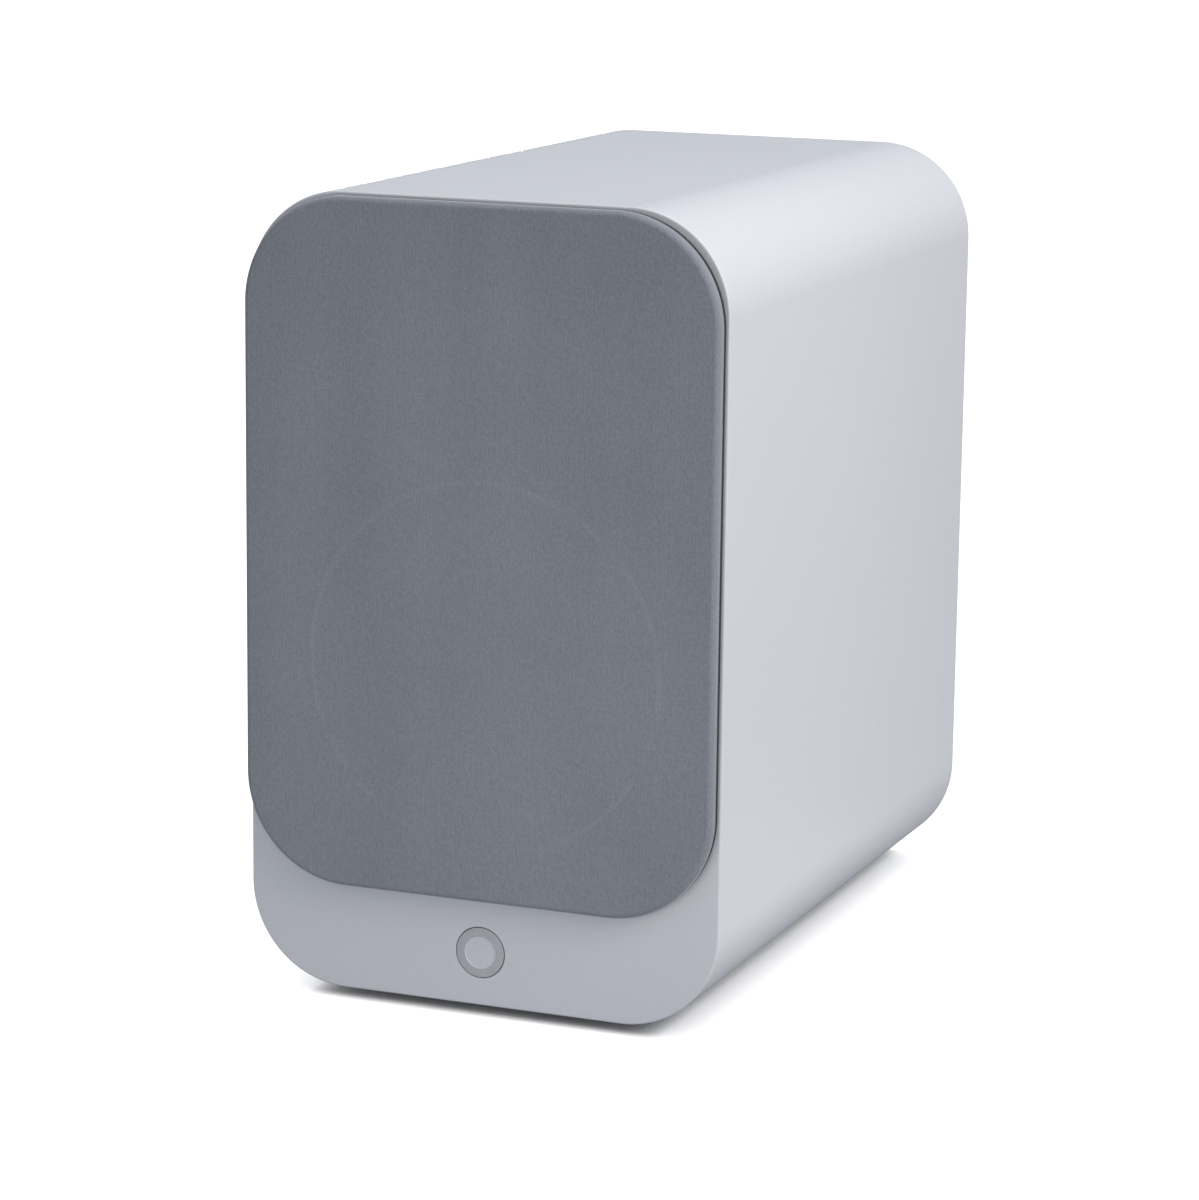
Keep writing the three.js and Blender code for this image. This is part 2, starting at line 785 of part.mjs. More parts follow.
function tweeterCup() {
  const [r, w, bend] = [cupRadius, cupWall, 3];
  return turnedTweeter(
    [
      [r, cupFront],
      [r, cupBack - bend],
      [r - bend, cupBack],
      [0, cupBack],
      [0, cupBack - w],
      [r - bend - w / 2, cupBack - w],
      [r - w, cupBack - bend - w / 2],
      [r - w, cupFront],
      [r, cupFront],
    ],
    tweeterFacets,
  );
}

const tweeterRing = (inner, outer, front, thickness) =>
  ring(inner, outer, front, front + thickness, roundFacets, 0, tweeterZ);

add("tweeter_faceplate", tweeterFaceplate(), blackPlastic);
add(
  "tweeter_isolation_ring",
  tweeterRing(cupRadius + 2 * GAP, tweeterRadius - 0.5, faceBack + GAP, isolation),
  blackRubber,
);
add("tweeter_surround", tweeterSurround(), domeSilk);
add("tweeter_dome", tweeterDome(), domeSilk);
add(
  "tweeter_voice_coil",
  tweeterRing(domeRadius - domeCloth, domeRadius, domePlane + 2 * GAP, tweeterPlate + 2),
  copperWire,
);
add(
  "tweeter_top_plate",
  tweeterRing(domeRadius + RUN, tweeterMagnetRadius - 1, tweeterPlateFront, tweeterPlate),
  zincPlated,
);
add(
  "tweeter_magnet",
  tweeterRing(domeRadius + 4, tweeterMagnetRadius, tweeterMagnetFront, tweeterMagnet),
  ferrite,
);
add("tweeter_yoke", tweeterYoke(), zincPlated);
add("tweeter_rear_cup", tweeterCup(), blackPlastic);

// ---------------------------------------------------------------- reflex port
function reflexPort() {
  const [face, inner] = [cabinetDepth, cabinetDepth - portLength];
  const tube = portBore + portWall;
  return turned(
    [
      [portFlangeRadius, face - portFlange],
      [portFlangeRadius, face - 0.6],
      [portFlangeRadius - 0.6, face],
      ...arc(portBore + portFlare, face - portFlare, portFlare, 90, 180, 4),
      ...arc(portBore + portFlare, inner + portFlare, portFlare, 180, 270, 4),
      [portBore + portFlare, inner + portWall],
      [tube, inner + portWall + portFlare],
      [tube, face - portFlange - portFlare],
      [tube + portFlare, face - portFlange],
      [portFlangeRadius, face - portFlange],
    ],
    portFacets,
    0,
    portZ,
  );
}
add("reflex_port", reflexPort(), blackPlastic);

// ---------------------------------------------------------------- terminals
function terminalPlate() {
  let made = terminalForm("lip", 0, cabinetDepth - terminalLip, cabinetDepth)
    .add(terminalForm("tub", 0, dishFloor - dishWall, cabinetDepth - terminalLip / 2))
    .subtract(terminalForm("dish", 0, dishFloor, cabinetDepth + EPS));
  for (const x of [-postSpacing / 2, postSpacing / 2]) {
    const [front, back] = [dishFloor - dishWall - EPS, dishFloor + EPS];
    made = made.subtract(disc(postRadius + GAP, front, back, smallFacets, x, terminalZ));
  }
  for (const [x, z] of screwPlaces) {
    made = made.subtract(screwForm(x, z, GAP));
  }
  return made;
}

const seatFront = dishFloor + GAP;
const clampFront = seatFront + postSeat + GAP;
const knobFront = clampFront + clampThickness + GAP;
const knobBore = postRadius + RUN;
const postEnd = dishFloor + postReach;
const nutBack = dishFloor - dishWall - GAP;
const tailEnd = dishFloor - dishWall - postTail;

function postStem(x) {
  const made = turned(
    [
      [0, tailEnd],
      [postRadius, tailEnd],
      [postRadius, nutBack - postNut],
      [postNutRadius, nutBack - postNut],
      [postNutRadius, nutBack],
      [postRadius, nutBack],
      [postRadius, seatFront],
      [postSeatRadius, seatFront],
      [postSeatRadius, seatFront + postSeat],
      [postRadius, seatFront + postSeat],
      [postRadius, postEnd],
      [plugBore, postEnd],
      [plugBore, postEnd - plugBoreDepth],
      [0, postEnd - plugBoreDepth],
    ],
    smallFacets,
    x,
    terminalZ,
  );
  const cross = new THREE.CylinderGeometry(wireHole, wireHole, 4 * postRadius, 10);
  cross.rotateZ(Math.PI / 2).translate(x, clampFront + wireHole, terminalZ);
  return made.subtract(solid(cross));
}

function clampWasher(x) {
  const back = clampFront + clampThickness;
  return ring(knobBore, clampRadius, clampFront, back, smallFacets, x, terminalZ);
}

function knob(x) {
  const grip = new THREE.Shape();
  const steps = knobFlutes * 4;
  for (let i = 0; i < steps; i++) {
    const a = (i * 2 * Math.PI) / steps;
    const r = knobRadius - knobFluteDepth * (0.5 - 0.5 * Math.cos(a * knobFlutes));
    if (i) grip.lineTo(r * Math.cos(a), r * Math.sin(a));
    else grip.moveTo(r, 0);
  }
  const back = knobFront + knobLength;
  return slab(grip, knobFront, back, 1)
    .translate([x, 0, terminalZ])
    .subtract(disc(knobBore, knobFront - EPS, back + EPS, smallFacets, x, terminalZ));
}

add("terminal_plate", terminalPlate(), blackPlastic);
for (const [pole, x, look] of [
  ["negative", -postSpacing / 2, blackPlastic],
  ["positive", postSpacing / 2, redPlastic],
]) {
  add(`post_stem_${pole}`, postStem(x), goldPlated);
  add(`post_washer_${pole}`, clampWasher(x), look);
  add(`post_knob_${pole}`, knob(x), look);
}
for (const [i, [x, z]] of screwPlaces.entries()) {
  add(`terminal_screw_${cornerName(corners[i])}`, screwForm(x, z, 0), zincPlated);
}

// ---------------------------------------------------------------- crossover
const boardBack = rearFront - GAP;
const boardFront = boardBack - boardThickness;
const partBack = boardFront - GAP;

// A coil on a flanged bobbin, standing on the board.
function bobbin(radius, height, x, z) {
  const front = partBack - height;
  return turned(
    [
      [4, front],
      [radius, front],
      [radius, front + 1.5],
      [radius - 2, front + 1.5],
      [radius - 2, partBack - 1.5],
      [radius, partBack - 1.5],
      [radius, partBack],
      [4, partBack],
      [4, front],
    ],
    smallFacets,
    x,
    z,
  );
}

// A round component lying along X on the board.
function lyingRoll(radius, length, x, z) {
  const can = new THREE.CylinderGeometry(radius, radius, length, smallFacets);
  return solid(can.rotateZ(Math.PI / 2).translate(x, partBack - radius, z));
}

const boardShape = roundedRectangle(boardWidth, boardHeight, 3, boardZ);
add("crossover_board", slab(boardShape, boardFront, boardBack, 2), greenBoard);
add("bass_inductor", bobbin(19, 20, -28, boardZ - 10), copperWire);
add("treble_inductor", bobbin(12, 14, 34, boardZ + 18), copperWire);
add("bass_capacitor", lyingRoll(9, 34, 24, boardZ - 22), filmCapacitor);
add("treble_capacitor", lyingRoll(7, 26, -4, boardZ + 24), filmCapacitor);
add("damping_resistor", block(8, 46, partBack - 8, partBack, boardZ - 8, boardZ + 1), cement);

// ---------------------------------------------------------------- inner cables
// A section swept along points chosen by hand.
function swept(section, points) {
  const path = new THREE.CatmullRomCurve3(points.map((p) => new THREE.Vector3(...p)));
  return solid(
    new THREE.ExtrudeGeometry(section, {
      steps: cableSteps,
      extrudePath: path,
      curveSegments: smallCurve,
      bevelEnabled: false,
    }),
  );
}

// One round core.
function singleCore(points) {
  const section = new THREE.Shape();
  section.absarc(0, 0, cableCore, 0, 2 * Math.PI, false);
  return swept(section, points);
}

// Two cores side by side in one jacket.
function twinCable(points) {
  const section = new THREE.Shape();
  section.absarc(cableCore, 0, cableCore, -Math.PI / 2, Math.PI / 2, false);
  section.absarc(-cableCore, 0, cableCore, Math.PI / 2, 1.5 * Math.PI, false);
  return swept(section, points);
}

// From the two posts up to the board, between the bass inductor and capacitor.
const boardEnd = boardFront - GAP;
const inputCore = (side) =>
  singleCore([
    [(side * postSpacing) / 2, tailEnd - GAP, terminalZ],
    [(side * postSpacing) / 2, tailEnd - 5, terminalZ],
    [side * 9, tailEnd - 10, terminalZ + 12],
    [side * 1.2 - 2, tailEnd - 8, terminalZ + 26],
    [side * 1.2 - 2, boardEnd - 14, boardZ - 34],
    [side * 1.2 - 2, boardEnd - 9, boardZ - 22],
    [side * 1.2 - 2, boardEnd - 5, boardZ - 20],
    [side * 1.2 - 2, boardEnd, boardZ - 20],
  ]);
add("input_cable", inputCore(-1).add(inputCore(1)), cableJacket);

const tabTop = wooferZ + wooferPlateRadius + tabLength;
const tabDepth = backRing - chassisMetal / 2;
add(
  "woofer_cable",
  twinCable([
    [-36, boardEnd, boardZ + 24],
    [-36, boardEnd - 8, boardZ + 24],
    [-36, 190, boardZ + 24],
    [-30, 150, boardZ + 32],
    [-22, 118, boardZ + 38],
    [-16, 90, boardZ + 40],
    [-6, 60, tabTop + 14],
    [0, tabDepth, tabTop + 8],
    [0, tabDepth, tabTop + GAP],
  ]),
  cableJacket,
);
add(
  "tweeter_cable",
  twinCable([
    [15.5, boardEnd, boardZ + 26],
    [15.5, boardEnd - 8, boardZ + 26],
    [24, 200, boardZ + 28],
    [40, 160, boardZ + 44],
    [38, 118, tweeterZ - 12],
    [28, 84, tweeterZ - 8],
    [8, 62, tweeterZ - 2],
    [0, cupBack + 8, tweeterZ],
    [0, cupBack + GAP, tweeterZ],
  ]),
  cableJacket,
);

// ---------------------------------------------------------------- the part's own frame
// The grille's cloth is the foremost piece and the rear of the cabinet the rearmost.
speaker.position.set(0, -(cabinetDepth - grilleThickness) / 2, footHeight);

export default speaker;
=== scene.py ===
import math

import bmesh
import bpy
from mathutils import Matrix, Vector, noise


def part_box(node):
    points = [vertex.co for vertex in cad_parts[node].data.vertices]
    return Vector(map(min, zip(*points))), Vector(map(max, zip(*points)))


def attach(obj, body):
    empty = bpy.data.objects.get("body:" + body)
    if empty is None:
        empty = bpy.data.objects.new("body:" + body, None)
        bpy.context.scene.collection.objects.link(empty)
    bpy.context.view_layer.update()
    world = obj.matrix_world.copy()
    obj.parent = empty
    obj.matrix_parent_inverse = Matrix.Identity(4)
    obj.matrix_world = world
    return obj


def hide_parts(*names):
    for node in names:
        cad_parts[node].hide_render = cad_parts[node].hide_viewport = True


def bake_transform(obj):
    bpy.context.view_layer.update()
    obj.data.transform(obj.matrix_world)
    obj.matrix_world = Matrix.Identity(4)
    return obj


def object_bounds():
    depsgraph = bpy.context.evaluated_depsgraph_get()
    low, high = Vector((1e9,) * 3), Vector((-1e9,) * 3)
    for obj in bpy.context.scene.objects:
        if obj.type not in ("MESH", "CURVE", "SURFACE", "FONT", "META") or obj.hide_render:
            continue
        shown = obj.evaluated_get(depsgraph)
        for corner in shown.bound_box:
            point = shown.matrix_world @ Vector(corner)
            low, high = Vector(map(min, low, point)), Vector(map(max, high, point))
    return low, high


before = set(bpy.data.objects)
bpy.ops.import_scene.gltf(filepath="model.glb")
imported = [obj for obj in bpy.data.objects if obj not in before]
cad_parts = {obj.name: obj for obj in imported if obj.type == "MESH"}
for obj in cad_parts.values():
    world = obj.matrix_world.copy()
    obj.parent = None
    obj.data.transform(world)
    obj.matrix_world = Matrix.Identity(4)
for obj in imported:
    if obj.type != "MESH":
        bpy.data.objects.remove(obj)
cad_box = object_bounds()

# A two-way bookshelf speaker. Sizes here are millimetres: x across, y back from the front face of
# the cabinet, z up from its underside. Meshes are metres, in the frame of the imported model.
MM = 0.001
cabinet_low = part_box("cabinet_shell")[0]
FACE, UNDERSIDE = cabinet_low.y, cabinet_low.z

# Outlines of the front view: width, height and corner radius.
CABINET = (170, 271, 34.4)
GRILLE = (168, 232.5, 36.7)
TERMINAL_LIP = (104, 58, 9)
TERMINAL_TUB = (89, 43, 10.5)
# Depths and thicknesses.
DEPTH = 258.5  # front face to rear face
WALL = 12
SKIN = 3  # lacquered front of the wrap, over the baffle core
REAR_BOARD = 15
GRILLE_FRONT = -6.5
FLANGE = 2.5  # of the port and the terminal plate, let in flush
# Radii.
WOOFER_HOLE, TWEETER_HOLE, BADGE_SEAT = 63, 34.3, 8.9
PORT_FLANGE, PORT_NECK, PORT_TUBE = 35, 30.5, 22.5
# Heights of the middles of the pieces.
CABINET_Z = CABINET[1] / 2
GRILLE_Z = 153.75
WOOFER_Z = 116.2
TWEETER_Z = 216.5
PORT_Z = 213
TERMINAL_Z = 58
BADGE_Z = 18.4

SLACK = 0.3  # clearance round a piece that is let in
LACQUERED = 0.6  # how far in from an edge the lacquer reaches
BOARD_EASE = 0.25  # sanded edges
ROUND, FINE_ROUND = 128, 160  # facets of a full circle


# ---------------------------------------------------------------- finishes
def colour(code):
    """An sRGB hex colour in Blender's linear light."""
    parts = [int(code[i : i + 2], 16) / 255 for i in (0, 2, 4)]
    return [p / 12.92 if p <= 0.04045 else ((p + 0.055) / 1.055) ** 2.4 for p in parts] + [1]


def node(tree, kind, values=None, links=None, **settings):
    """Adds one node with its settings, the values of its sockets and what feeds them."""
    made = tree.nodes.new("ShaderNode" + kind)
    for key, value in settings.items():
        setattr(made, key, value)

    def socket(key):
        if isinstance(key, int):
            return made.inputs[key]
        return next(s for s in made.inputs if s.enabled and s.name == key)

    for key, value in (values or {}).items():
        socket(key).default_value = value
    for key, source in (links or {}).items():
        if isinstance(source, bpy.types.Node):
            source = next(s for s in source.outputs if s.enabled)
        tree.links.new(source, socket(key))
    return made


def bare(holder):
    """The node tree of a material or a world, emptied."""
    holder.use_nodes = True
    holder.node_tree.nodes.clear()
    return holder.node_tree


# Nearly all of a noise texture lies between these values; they are spread to the full range.
NOISE_SPAN = {"From Min": 0.3, "From Max": 0.7}
# A wave texture of scale 1 repeats after this length.
WAVE = 0.314


def specks(size, detail=3, stretch=(1, 1, 1), roughness=0.55):
    """A random grain of so many millimetres, which may be drawn out along an axis."""

    def pattern(tree, place):
        pulled = node(tree, "VectorMath", {1: stretch}, {0: place}, operation="MULTIPLY")
        grain = node(
            tree,
            "TexNoise",
            {"Scale": 1 / (size * MM), "Detail": detail, "Roughness": roughness},
            {"Vector": pulled},
        )
        return node(tree, "MapRange", NOISE_SPAN, {"Value": grain})

    return pattern


def about(tree, place, x, z):
    """How far a place is from an axis along y: the offset from it, and the radius."""
    centre = (x * MM, 0, z * MM + UNDERSIDE)
    off = node(tree, "VectorMath", {1: centre}, {0: place}, operation="SUBTRACT")
    flat = node(tree, "VectorMath", {1: (1, 0, 1)}, {0: off}, operation="MULTIPLY")
    return off, node(tree, "VectorMath", links={0: flat}, operation="LENGTH").outputs["Value"]


def finish(name, tones, pattern, roughness, relief=0.0, cloud=(60, 0.04), **sockets):
    """A finish: two tones and two roughnesses that follow a pattern, a relief of so many
    millimetres, and a slow change of tone of that size and strength across the piece."""
    made = bpy.data.materials.new(name)
    tree = bare(made)
    place = node(tree, "TexCoord").outputs["Object"]
    drawn = pattern(tree, place)
    tone = node(
        tree,
        "Mix",
        {"A": colour(tones[0]), "B": colour(tones[1])},
        {"Factor": drawn},
        data_type="RGBA",
    )
    slow = node(tree, "TexNoise", {"Scale": 1 / (cloud[0] * MM), "Detail": 1}, {"Vector": place})
    shade = node(
        tree,
        "MapRange",
        {**NOISE_SPAN, "To Min": 1 - cloud[1], "To Max": 1 + cloud[1]},
        {"Value": slow},
    )
    tone = node(tree, "VectorMath", links={0: tone, 1: shade}, operation="MULTIPLY")
    matt = node(
        tree, "MapRange", {"To Min": roughness[0], "To Max": roughness[1]}, {"Value": drawn}
    )
    links = {"Base Color": tone, "Roughness": matt}
    if relief:
        links["Normal"] = node(
            tree, "Bump", {"Strength": 1.0, "Distance": relief * MM}, {"Height": drawn}
        )
    names = {key: key.replace("_", " ") for key in sockets}
    shader = node(
        tree, "BsdfPrincipled", {names[key]: value for key, value in sockets.items()}, links
    )
    node(tree, "OutputMaterial", links={"Surface": shader})
    return made


RIB, COURSE = 0.8, 1.25  # spacings of the cloth's threads
WIRE = 0.8  # thickness of the coils' wire
# The woofer's trim ring, painted on the cloth as a highlight: its middle beside and above the
# woofer's, its radius, half its width, and the heights, from its middle, between which its painted
# light brightens.
RING_ASIDE, RING_ABOVE, RING_RADIUS, RING_HALF = 3.1, 0.8, 62.2, 0.9
RING_DIM, RING_LIT = -62, -52


def knit(tree, place):
    """Warp-knit polyester: upright ribs of thread crossed by shorter courses. The real ribs are
    0.6 mm apart; they are drawn 0.8 mm apart, since finer ones would not show."""
    # The weave runs on round the edge of the frame.
    back = node(tree, "SeparateXYZ", links={0: place}).outputs["Y"]
    back = node(tree, "Math", {1: FACE + GRILLE_FRONT * MM}, {0: back}, operation="SUBTRACT")
    facing = node(tree, "TexCoord").outputs["Normal"]
    wrap = node(tree, "VectorMath", links={0: facing, 1: back}, operation="MULTIPLY")
    place = node(tree, "VectorMath", links={0: place, 1: wrap}, operation="ADD").outputs[0]
    rib = node(
        tree,
        "TexWave",
        {"Scale": WAVE / (RIB * MM), "Distortion": 2.2, "Detail": 2, "Detail Scale": 0.8},
        {"Vector": place},
        bands_direction="X",
    )
    course = node(
        tree,
        "TexWave",
        {"Scale": WAVE / (COURSE * MM), "Distortion": 3.0, "Detail": 1, "Detail Scale": 0.7},
        {"Vector": place},
        bands_direction="Z",
    )
    drawn = rib.outputs[1]
    # Courses across the ribs, a mottle of loose yarn, and broad upright streaks, lighter and
    # darker, of painted light that stands for reflections of the studio on the cloth.
    for share, layer in (
        (0.2, course.outputs[1]),
        (0.72, specks(0.7, 3, (1, 1, 0.6))(tree, place)),
        (0.22, specks(30, 1, (1, 1, 0.1))(tree, place)),
    ):
        drawn = node(tree, "Mix", {"Factor": share}, {"A": drawn, "B": layer}, data_type="FLOAT")
    # Painted highlight and painted shade: the bright trim ring of the woofer, as it would show
    # through the knit, is painted on the cloth as a thin, broken, paler line, with painted shade at
    # the foot, where little light reaches it. The ring lies deeper than the cloth, so its line
    # stands a little to one side.
    off, radius = about(tree, place, RING_ASIDE, WOOFER_Z + RING_ABOVE)
    near = node(
        tree, "Math", {1: RING_RADIUS * MM, 2: RING_HALF * MM}, {0: radius}, operation="COMPARE"
    )
    height = node(tree, "SeparateXYZ", links={0: off}).outputs["Z"]
    lit = node(
        tree,
        "MapRange",
        {"From Min": RING_DIM * MM, "From Max": RING_LIT * MM, "To Min": 0.1},
        {"Value": height},
    )
    broken = specks(5, 3)(tree, place)
    line = node(tree, "Math", links={0: near, 1: broken}, operation="MULTIPLY")
    line = node(tree, "Math", links={0: line, 1: lit}, operation="MULTIPLY")
    return node(tree, "Math", {1: 0.3}, {0: line, 2: drawn}, operation="MULTIPLY_ADD")


def ringed(x, z, size, arc=0.04):
    """Fine rings about an axis along y, as a lathe tool or a brush leaves them. arc is how fast
    they change along their own length."""

    def pattern(tree, place):
        off, radius = about(tree, place, x, z)
        drift = node(tree, "VectorMath", {1: (arc, arc, arc)}, {0: off}, operation="MULTIPLY")
        there = node(tree, "VectorMath", links={0: drift, 1: radius}, operation="ADD")
        return specks(size, 2, roughness=0.6)(tree, there)

    return pattern


# Satin lacquer sprayed on MDF: an even cool white with a soft, wide highlight. Its orange peel is
# about 1.5 mm across and only just breaks up reflections.
lacquer = finish(
    "satin_white_lacquer", ("d8dae0", "dbdde2"), specks(1.5, 2), (0.36, 0.42), 0.006,
    (140, 0.008), IOR=1.5, Coat_Weight=0.15, Coat_Roughness=0.3,
)
# MDF as sawn: brown, dull, with short fibres of about 0.8 mm.
board = finish(
    "raw_mdf", ("8a6a48", "a88661"), specks(0.8, 4, (1, 0.3, 1)), (0.85, 0.95), 0.05, IOR=1.45
)
# Knitted polyester grille cloth: matt cool grey, with a soft bloom where it curves away.
cloth = finish(
    "knitted_grille_cloth", ("7b7f89", "9599a1"), knit, (0.8, 0.95), 0.1, (55, 0.03),
    IOR=1.5, Sheen_Weight=0.45, Sheen_Roughness=0.4,
)
# Moulded ABS with a fine spark-eroded grain, real 0.2 mm and drawn 0.5 mm so that it shows.
abs_grain = finish(
    "moulded_black_abs", ("17181a", "232528"), specks(0.5, 2), (0.45, 0.62), 0.02, IOR=1.53
)
# Brushed and clear-coated aluminium badge: neutral grey with fine rings about its middle. The
# dull coat hides most of the metal's shine, so it is only part metallic.
badge_metal = finish(
    "brushed_aluminium", ("bcbdc2", "cacbd0"), ringed(0, BADGE_Z, 0.35), (0.36, 0.5), 0.004,
    Metallic=0.35,
)
# Rubber: soft black, dull, with a dusty bloom in patches of about 3 mm.
rubber = finish(
    "moulded_black_rubber", ("1a1b1c", "262728"), specks(3, 4), (0.62, 0.8), 0.015, IOR=1.52
)
# Satin paint in the badge's sunk middle: a shade lighter than its rim, barely grained.
badge_paint = finish(
    "badge_satin_paint", ("d4d6dc", "dadce1"), specks(0.6, 2), (0.4, 0.5), 0.004, IOR=1.5
)
# Bright zinc on pressed steel: pale blue-grey metal with faint spangle about 2 mm across.
zinc = finish(
    "bright_zinc_plate", ("a9adb2", "c0c3c7"), specks(2, 2), (0.28, 0.42), 0.003, Metallic=1.0
)
# Polished nickel plate: warm silver with soft lathe rings under the shine.
nickel = finish(
    "polished_nickel_plate", ("b9b6b0", "cfccc6"), ringed(0, WOOFER_Z, 0.5), (0.12, 0.24), 0.002,
    Metallic=1.0,
)
# Thermoplastic rubber of the surround: deep black, half matt, slightly mottled.
surround_rubber = finish(
    "surround_rubber", ("151617", "1d1e1f"), specks(1.2, 3), (0.42, 0.58), 0.012, IOR=1.52
)
# Pressed paper pulp with a doped face: charcoal with fibres about 1 mm long.
paper_cone = finish(
    "coated_paper_pulp", ("232427", "34363a"), specks(0.9, 5), (0.55, 0.75), 0.05, IOR=1.5
)
# Fine silk with a tacky coating: black, with thread 0.3 mm apart drawn at 0.5 mm.
silk = finish(
    "coated_dome_silk", ("0f1011", "232425"), specks(0.5, 1), (0.38, 0.55), 0.02, IOR=1.5,
    Sheen_Weight=0.15,
)
# Cotton cloth stiffened with resin: mustard yellow, dull, woven at about 0.7 mm.
resin_cloth = finish(
    "resin_cotton_cloth", ("a5842f", "c9a752"), specks(0.7, 2), (0.7, 0.85), 0.08, IOR=1.5
)
# Thin gold on turned brass: bright yellow metal with faint lathe rings.
gold = finish(
    "gold_plated_brass", ("c79a3c", "e0bb66"), specks(0.4, 2, (1, 6, 1)), (0.14, 0.26), 0.003,
    Metallic=1.0,
)
# Polycarbonate moulded clear and tinted: deep, glossy red.
red_knob = finish(
    "red_polycarbonate", ("8f0f16", "a8161d"), specks(4, 2), (0.16, 0.26), 0.004, IOR=1.58,
    Coat_Weight=0.4, Coat_Roughness=0.08,
)
# The same plastic smoked black, for the other pole.
black_knob = finish(
    "black_polycarbonate", ("0d0d0f", "161618"), specks(4, 2), (0.16, 0.26), 0.004, IOR=1.58,
    Coat_Weight=0.4, Coat_Roughness=0.08,
)
# Polyester wadding: off-white, fluffy, with a felt of fibres about 2 mm long.
fluff = finish(
    "polyester_wadding", ("d3cfc6", "efece6"), specks(2.2, 6), (0.92, 1.0), 0.9, (18, 0.06),
    IOR=1.45, Sheen_Weight=0.4,
)
# Sintered ferrite: near black, ground, with a grain of about 0.6 mm.
ferrite = finish(
    "sintered_ferrite", ("28292b", "3a3b3e"), specks(0.6, 4), (0.5, 0.68), 0.02, IOR=2.0
)
# Thin aluminium sheet as rolled: bright grey, drawn out along the tube.
foil = finish(
    "rolled_aluminium_foil", ("b4b7bb", "cdd0d3"), specks(0.8, 2, (1, 0.1, 1)), (0.25, 0.4),
    0.004, Metallic=1.0,
)
# PVC cable jacket: dark grey, waxy, barely marked.
jacket = finish(
    "pvc_cable_jacket", ("38393c", "434548"), specks(2.5, 2), (0.42, 0.55), 0.01, IOR=1.53
)
# Solder mask over glass epoxy: dark green with the weave of the glass, 0.8 mm, under it.
solder_mask = finish(
    "green_solder_mask", ("145233", "1f6a45"), specks(0.8, 1), (0.25, 0.38), 0.006, IOR=1.55
)
# Polyester film wound round a capacitor: blue, with a faint seam grain along it.
film = finish(
    "blue_polyester_film", ("225f8a", "2f74a3"), specks(1.5, 2, (0.2, 1, 1)), (0.2, 0.34),
    0.005, IOR=1.6,
)
# Cement of a wire-wound resistor: chalky white with pores of about 0.7 mm.
cement = finish(
    "resistor_cement", ("cfc9b9", "e0dccf"), specks(0.7, 5), (0.8, 0.92), 0.06, IOR=1.5
)


def windings(tree, place):
    """Turns of enamelled wire side by side, round an axis along y."""
    turns = node(
        tree, "TexWave", {"Scale": WAVE / (WIRE * MM), "Distortion": 0.3}, {"Vector": place},
        bands_direction="Y",
    )
    return turns.outputs[1]


# Enamelled copper wire: painted shade between the turns and a painted highlight on each.
copper = finish(
    "enamelled_copper_wire", ("5e2a12", "c4713c"), windings, (0.2, 0.35), 0.2, Metallic=0.9
)


# ---------------------------------------------------------------- shapes
def rounded(profile, steps=4):
    """A profile with its corners rounded: a point's third number is the radius there."""
    line = []
    for i, point in enumerate(profile):
        here = Vector(point[:2])
        if len(point) < 3:
            line.append(tuple(here))
            continue
        back = Vector(profile[i - 1][:2]) - here
        on = Vector(profile[(i + 1) % len(profile)][:2]) - here
        half = back.angle(on) / 2
        cut = min(point[2] / math.tan(half), 0.48 * back.length, 0.48 * on.length)
        radius = cut * math.tan(half)
        a, b = back.normalized(), on.normalized()
        centre = here + (a + b).normalized() * radius / math.sin(half)
        first, last = here + a * cut - centre, here + b * cut - centre
        turn = first.angle(last)
        for k in range(steps + 1):
            w = k / steps
            arm = first * math.sin((1 - w) * turn) + last * math.sin(w * turn)
            line.append(tuple(centre + arm / math.sin(turn)))
    return line


def outline(width, height, corner, x=0, z=0, steps=20):
    """Points round a rectangle with round corners."""
    corner = max(corner, 0.05)
    points = []
    for k, (sx, sz) in enumerate(((1, 1), (-1, 1), (-1, -1), (1, -1))):
        for i in range(steps + 1):
            turn = math.pi / 2 * (k + i / steps)
            points.append(
                (
                    x + sx * (width / 2 - corner) + corner * math.cos(turn),
                    z + sz * (height / 2 - corner) + corner * math.sin(turn),
                )
            )
    return points


def grown(size, by):
    """An outline's size, made larger by so much on every side."""
    width, height, corner = size
    return width + 2 * by, height + 2 * by, corner + by


def slab(size, profile, x=0, z=0, steps=20):
    """Rings of one outline: each point of the profile is an inset from it and a depth."""
    width, height, corner = size
    return [
        [(px, y, pz) for px, pz in outline(width - 2 * i, height - 2 * i, corner - i, x, z, steps)]
        for i, y in profile
    ]


def turned(profile, x=0, z=0, count=ROUND):
    """Rings of a lathe shape: each point of the profile is a radius and a depth."""
    turns = [2 * math.pi * k / count for k in range(count)]
    return [
        [(x + radius * math.cos(t), y, z + radius * math.sin(t)) for t in turns]
        for radius, y in profile
    ]


def skin(rings, ends="capped"):
    """Joins rings into one mesh, with its ends capped, open, or joined to each other."""
    count = len(rings[0])
    points = [p for ring in rings for p in ring]
    faces = []
    last = len(rings) if ends == "joined" else len(rings) - 1
    for i in range(last):
        a, b = i * count, (i + 1) % len(rings) * count
        faces += [(a + k, a + (k + 1) % count, b + (k + 1) % count, b + k) for k in range(count)]
    if ends == "capped":
        faces += [tuple(range(count)), tuple(range(len(points) - count, len(points)))]
    return form(points, faces)


def form(points, faces):
    """A mesh object from points in millimetres, with doubled points merged and faces outwards."""
    mesh = bpy.data.meshes.new("form")
    mesh.from_pydata([(x * MM, y * MM + FACE, z * MM + UNDERSIDE) for x, y, z in points], [], faces)
    shaped = bmesh.new()
    shaped.from_mesh(mesh)
    bmesh.ops.remove_doubles(shaped, verts=shaped.verts, dist=1e-6)
    bmesh.ops.recalc_face_normals(shaped, faces=shaped.faces)
    shaped.to_mesh(mesh)
    shaped.free()
    made = bpy.data.objects.new("form", mesh)
    bpy.context.scene.collection.objects.link(made)
    return made


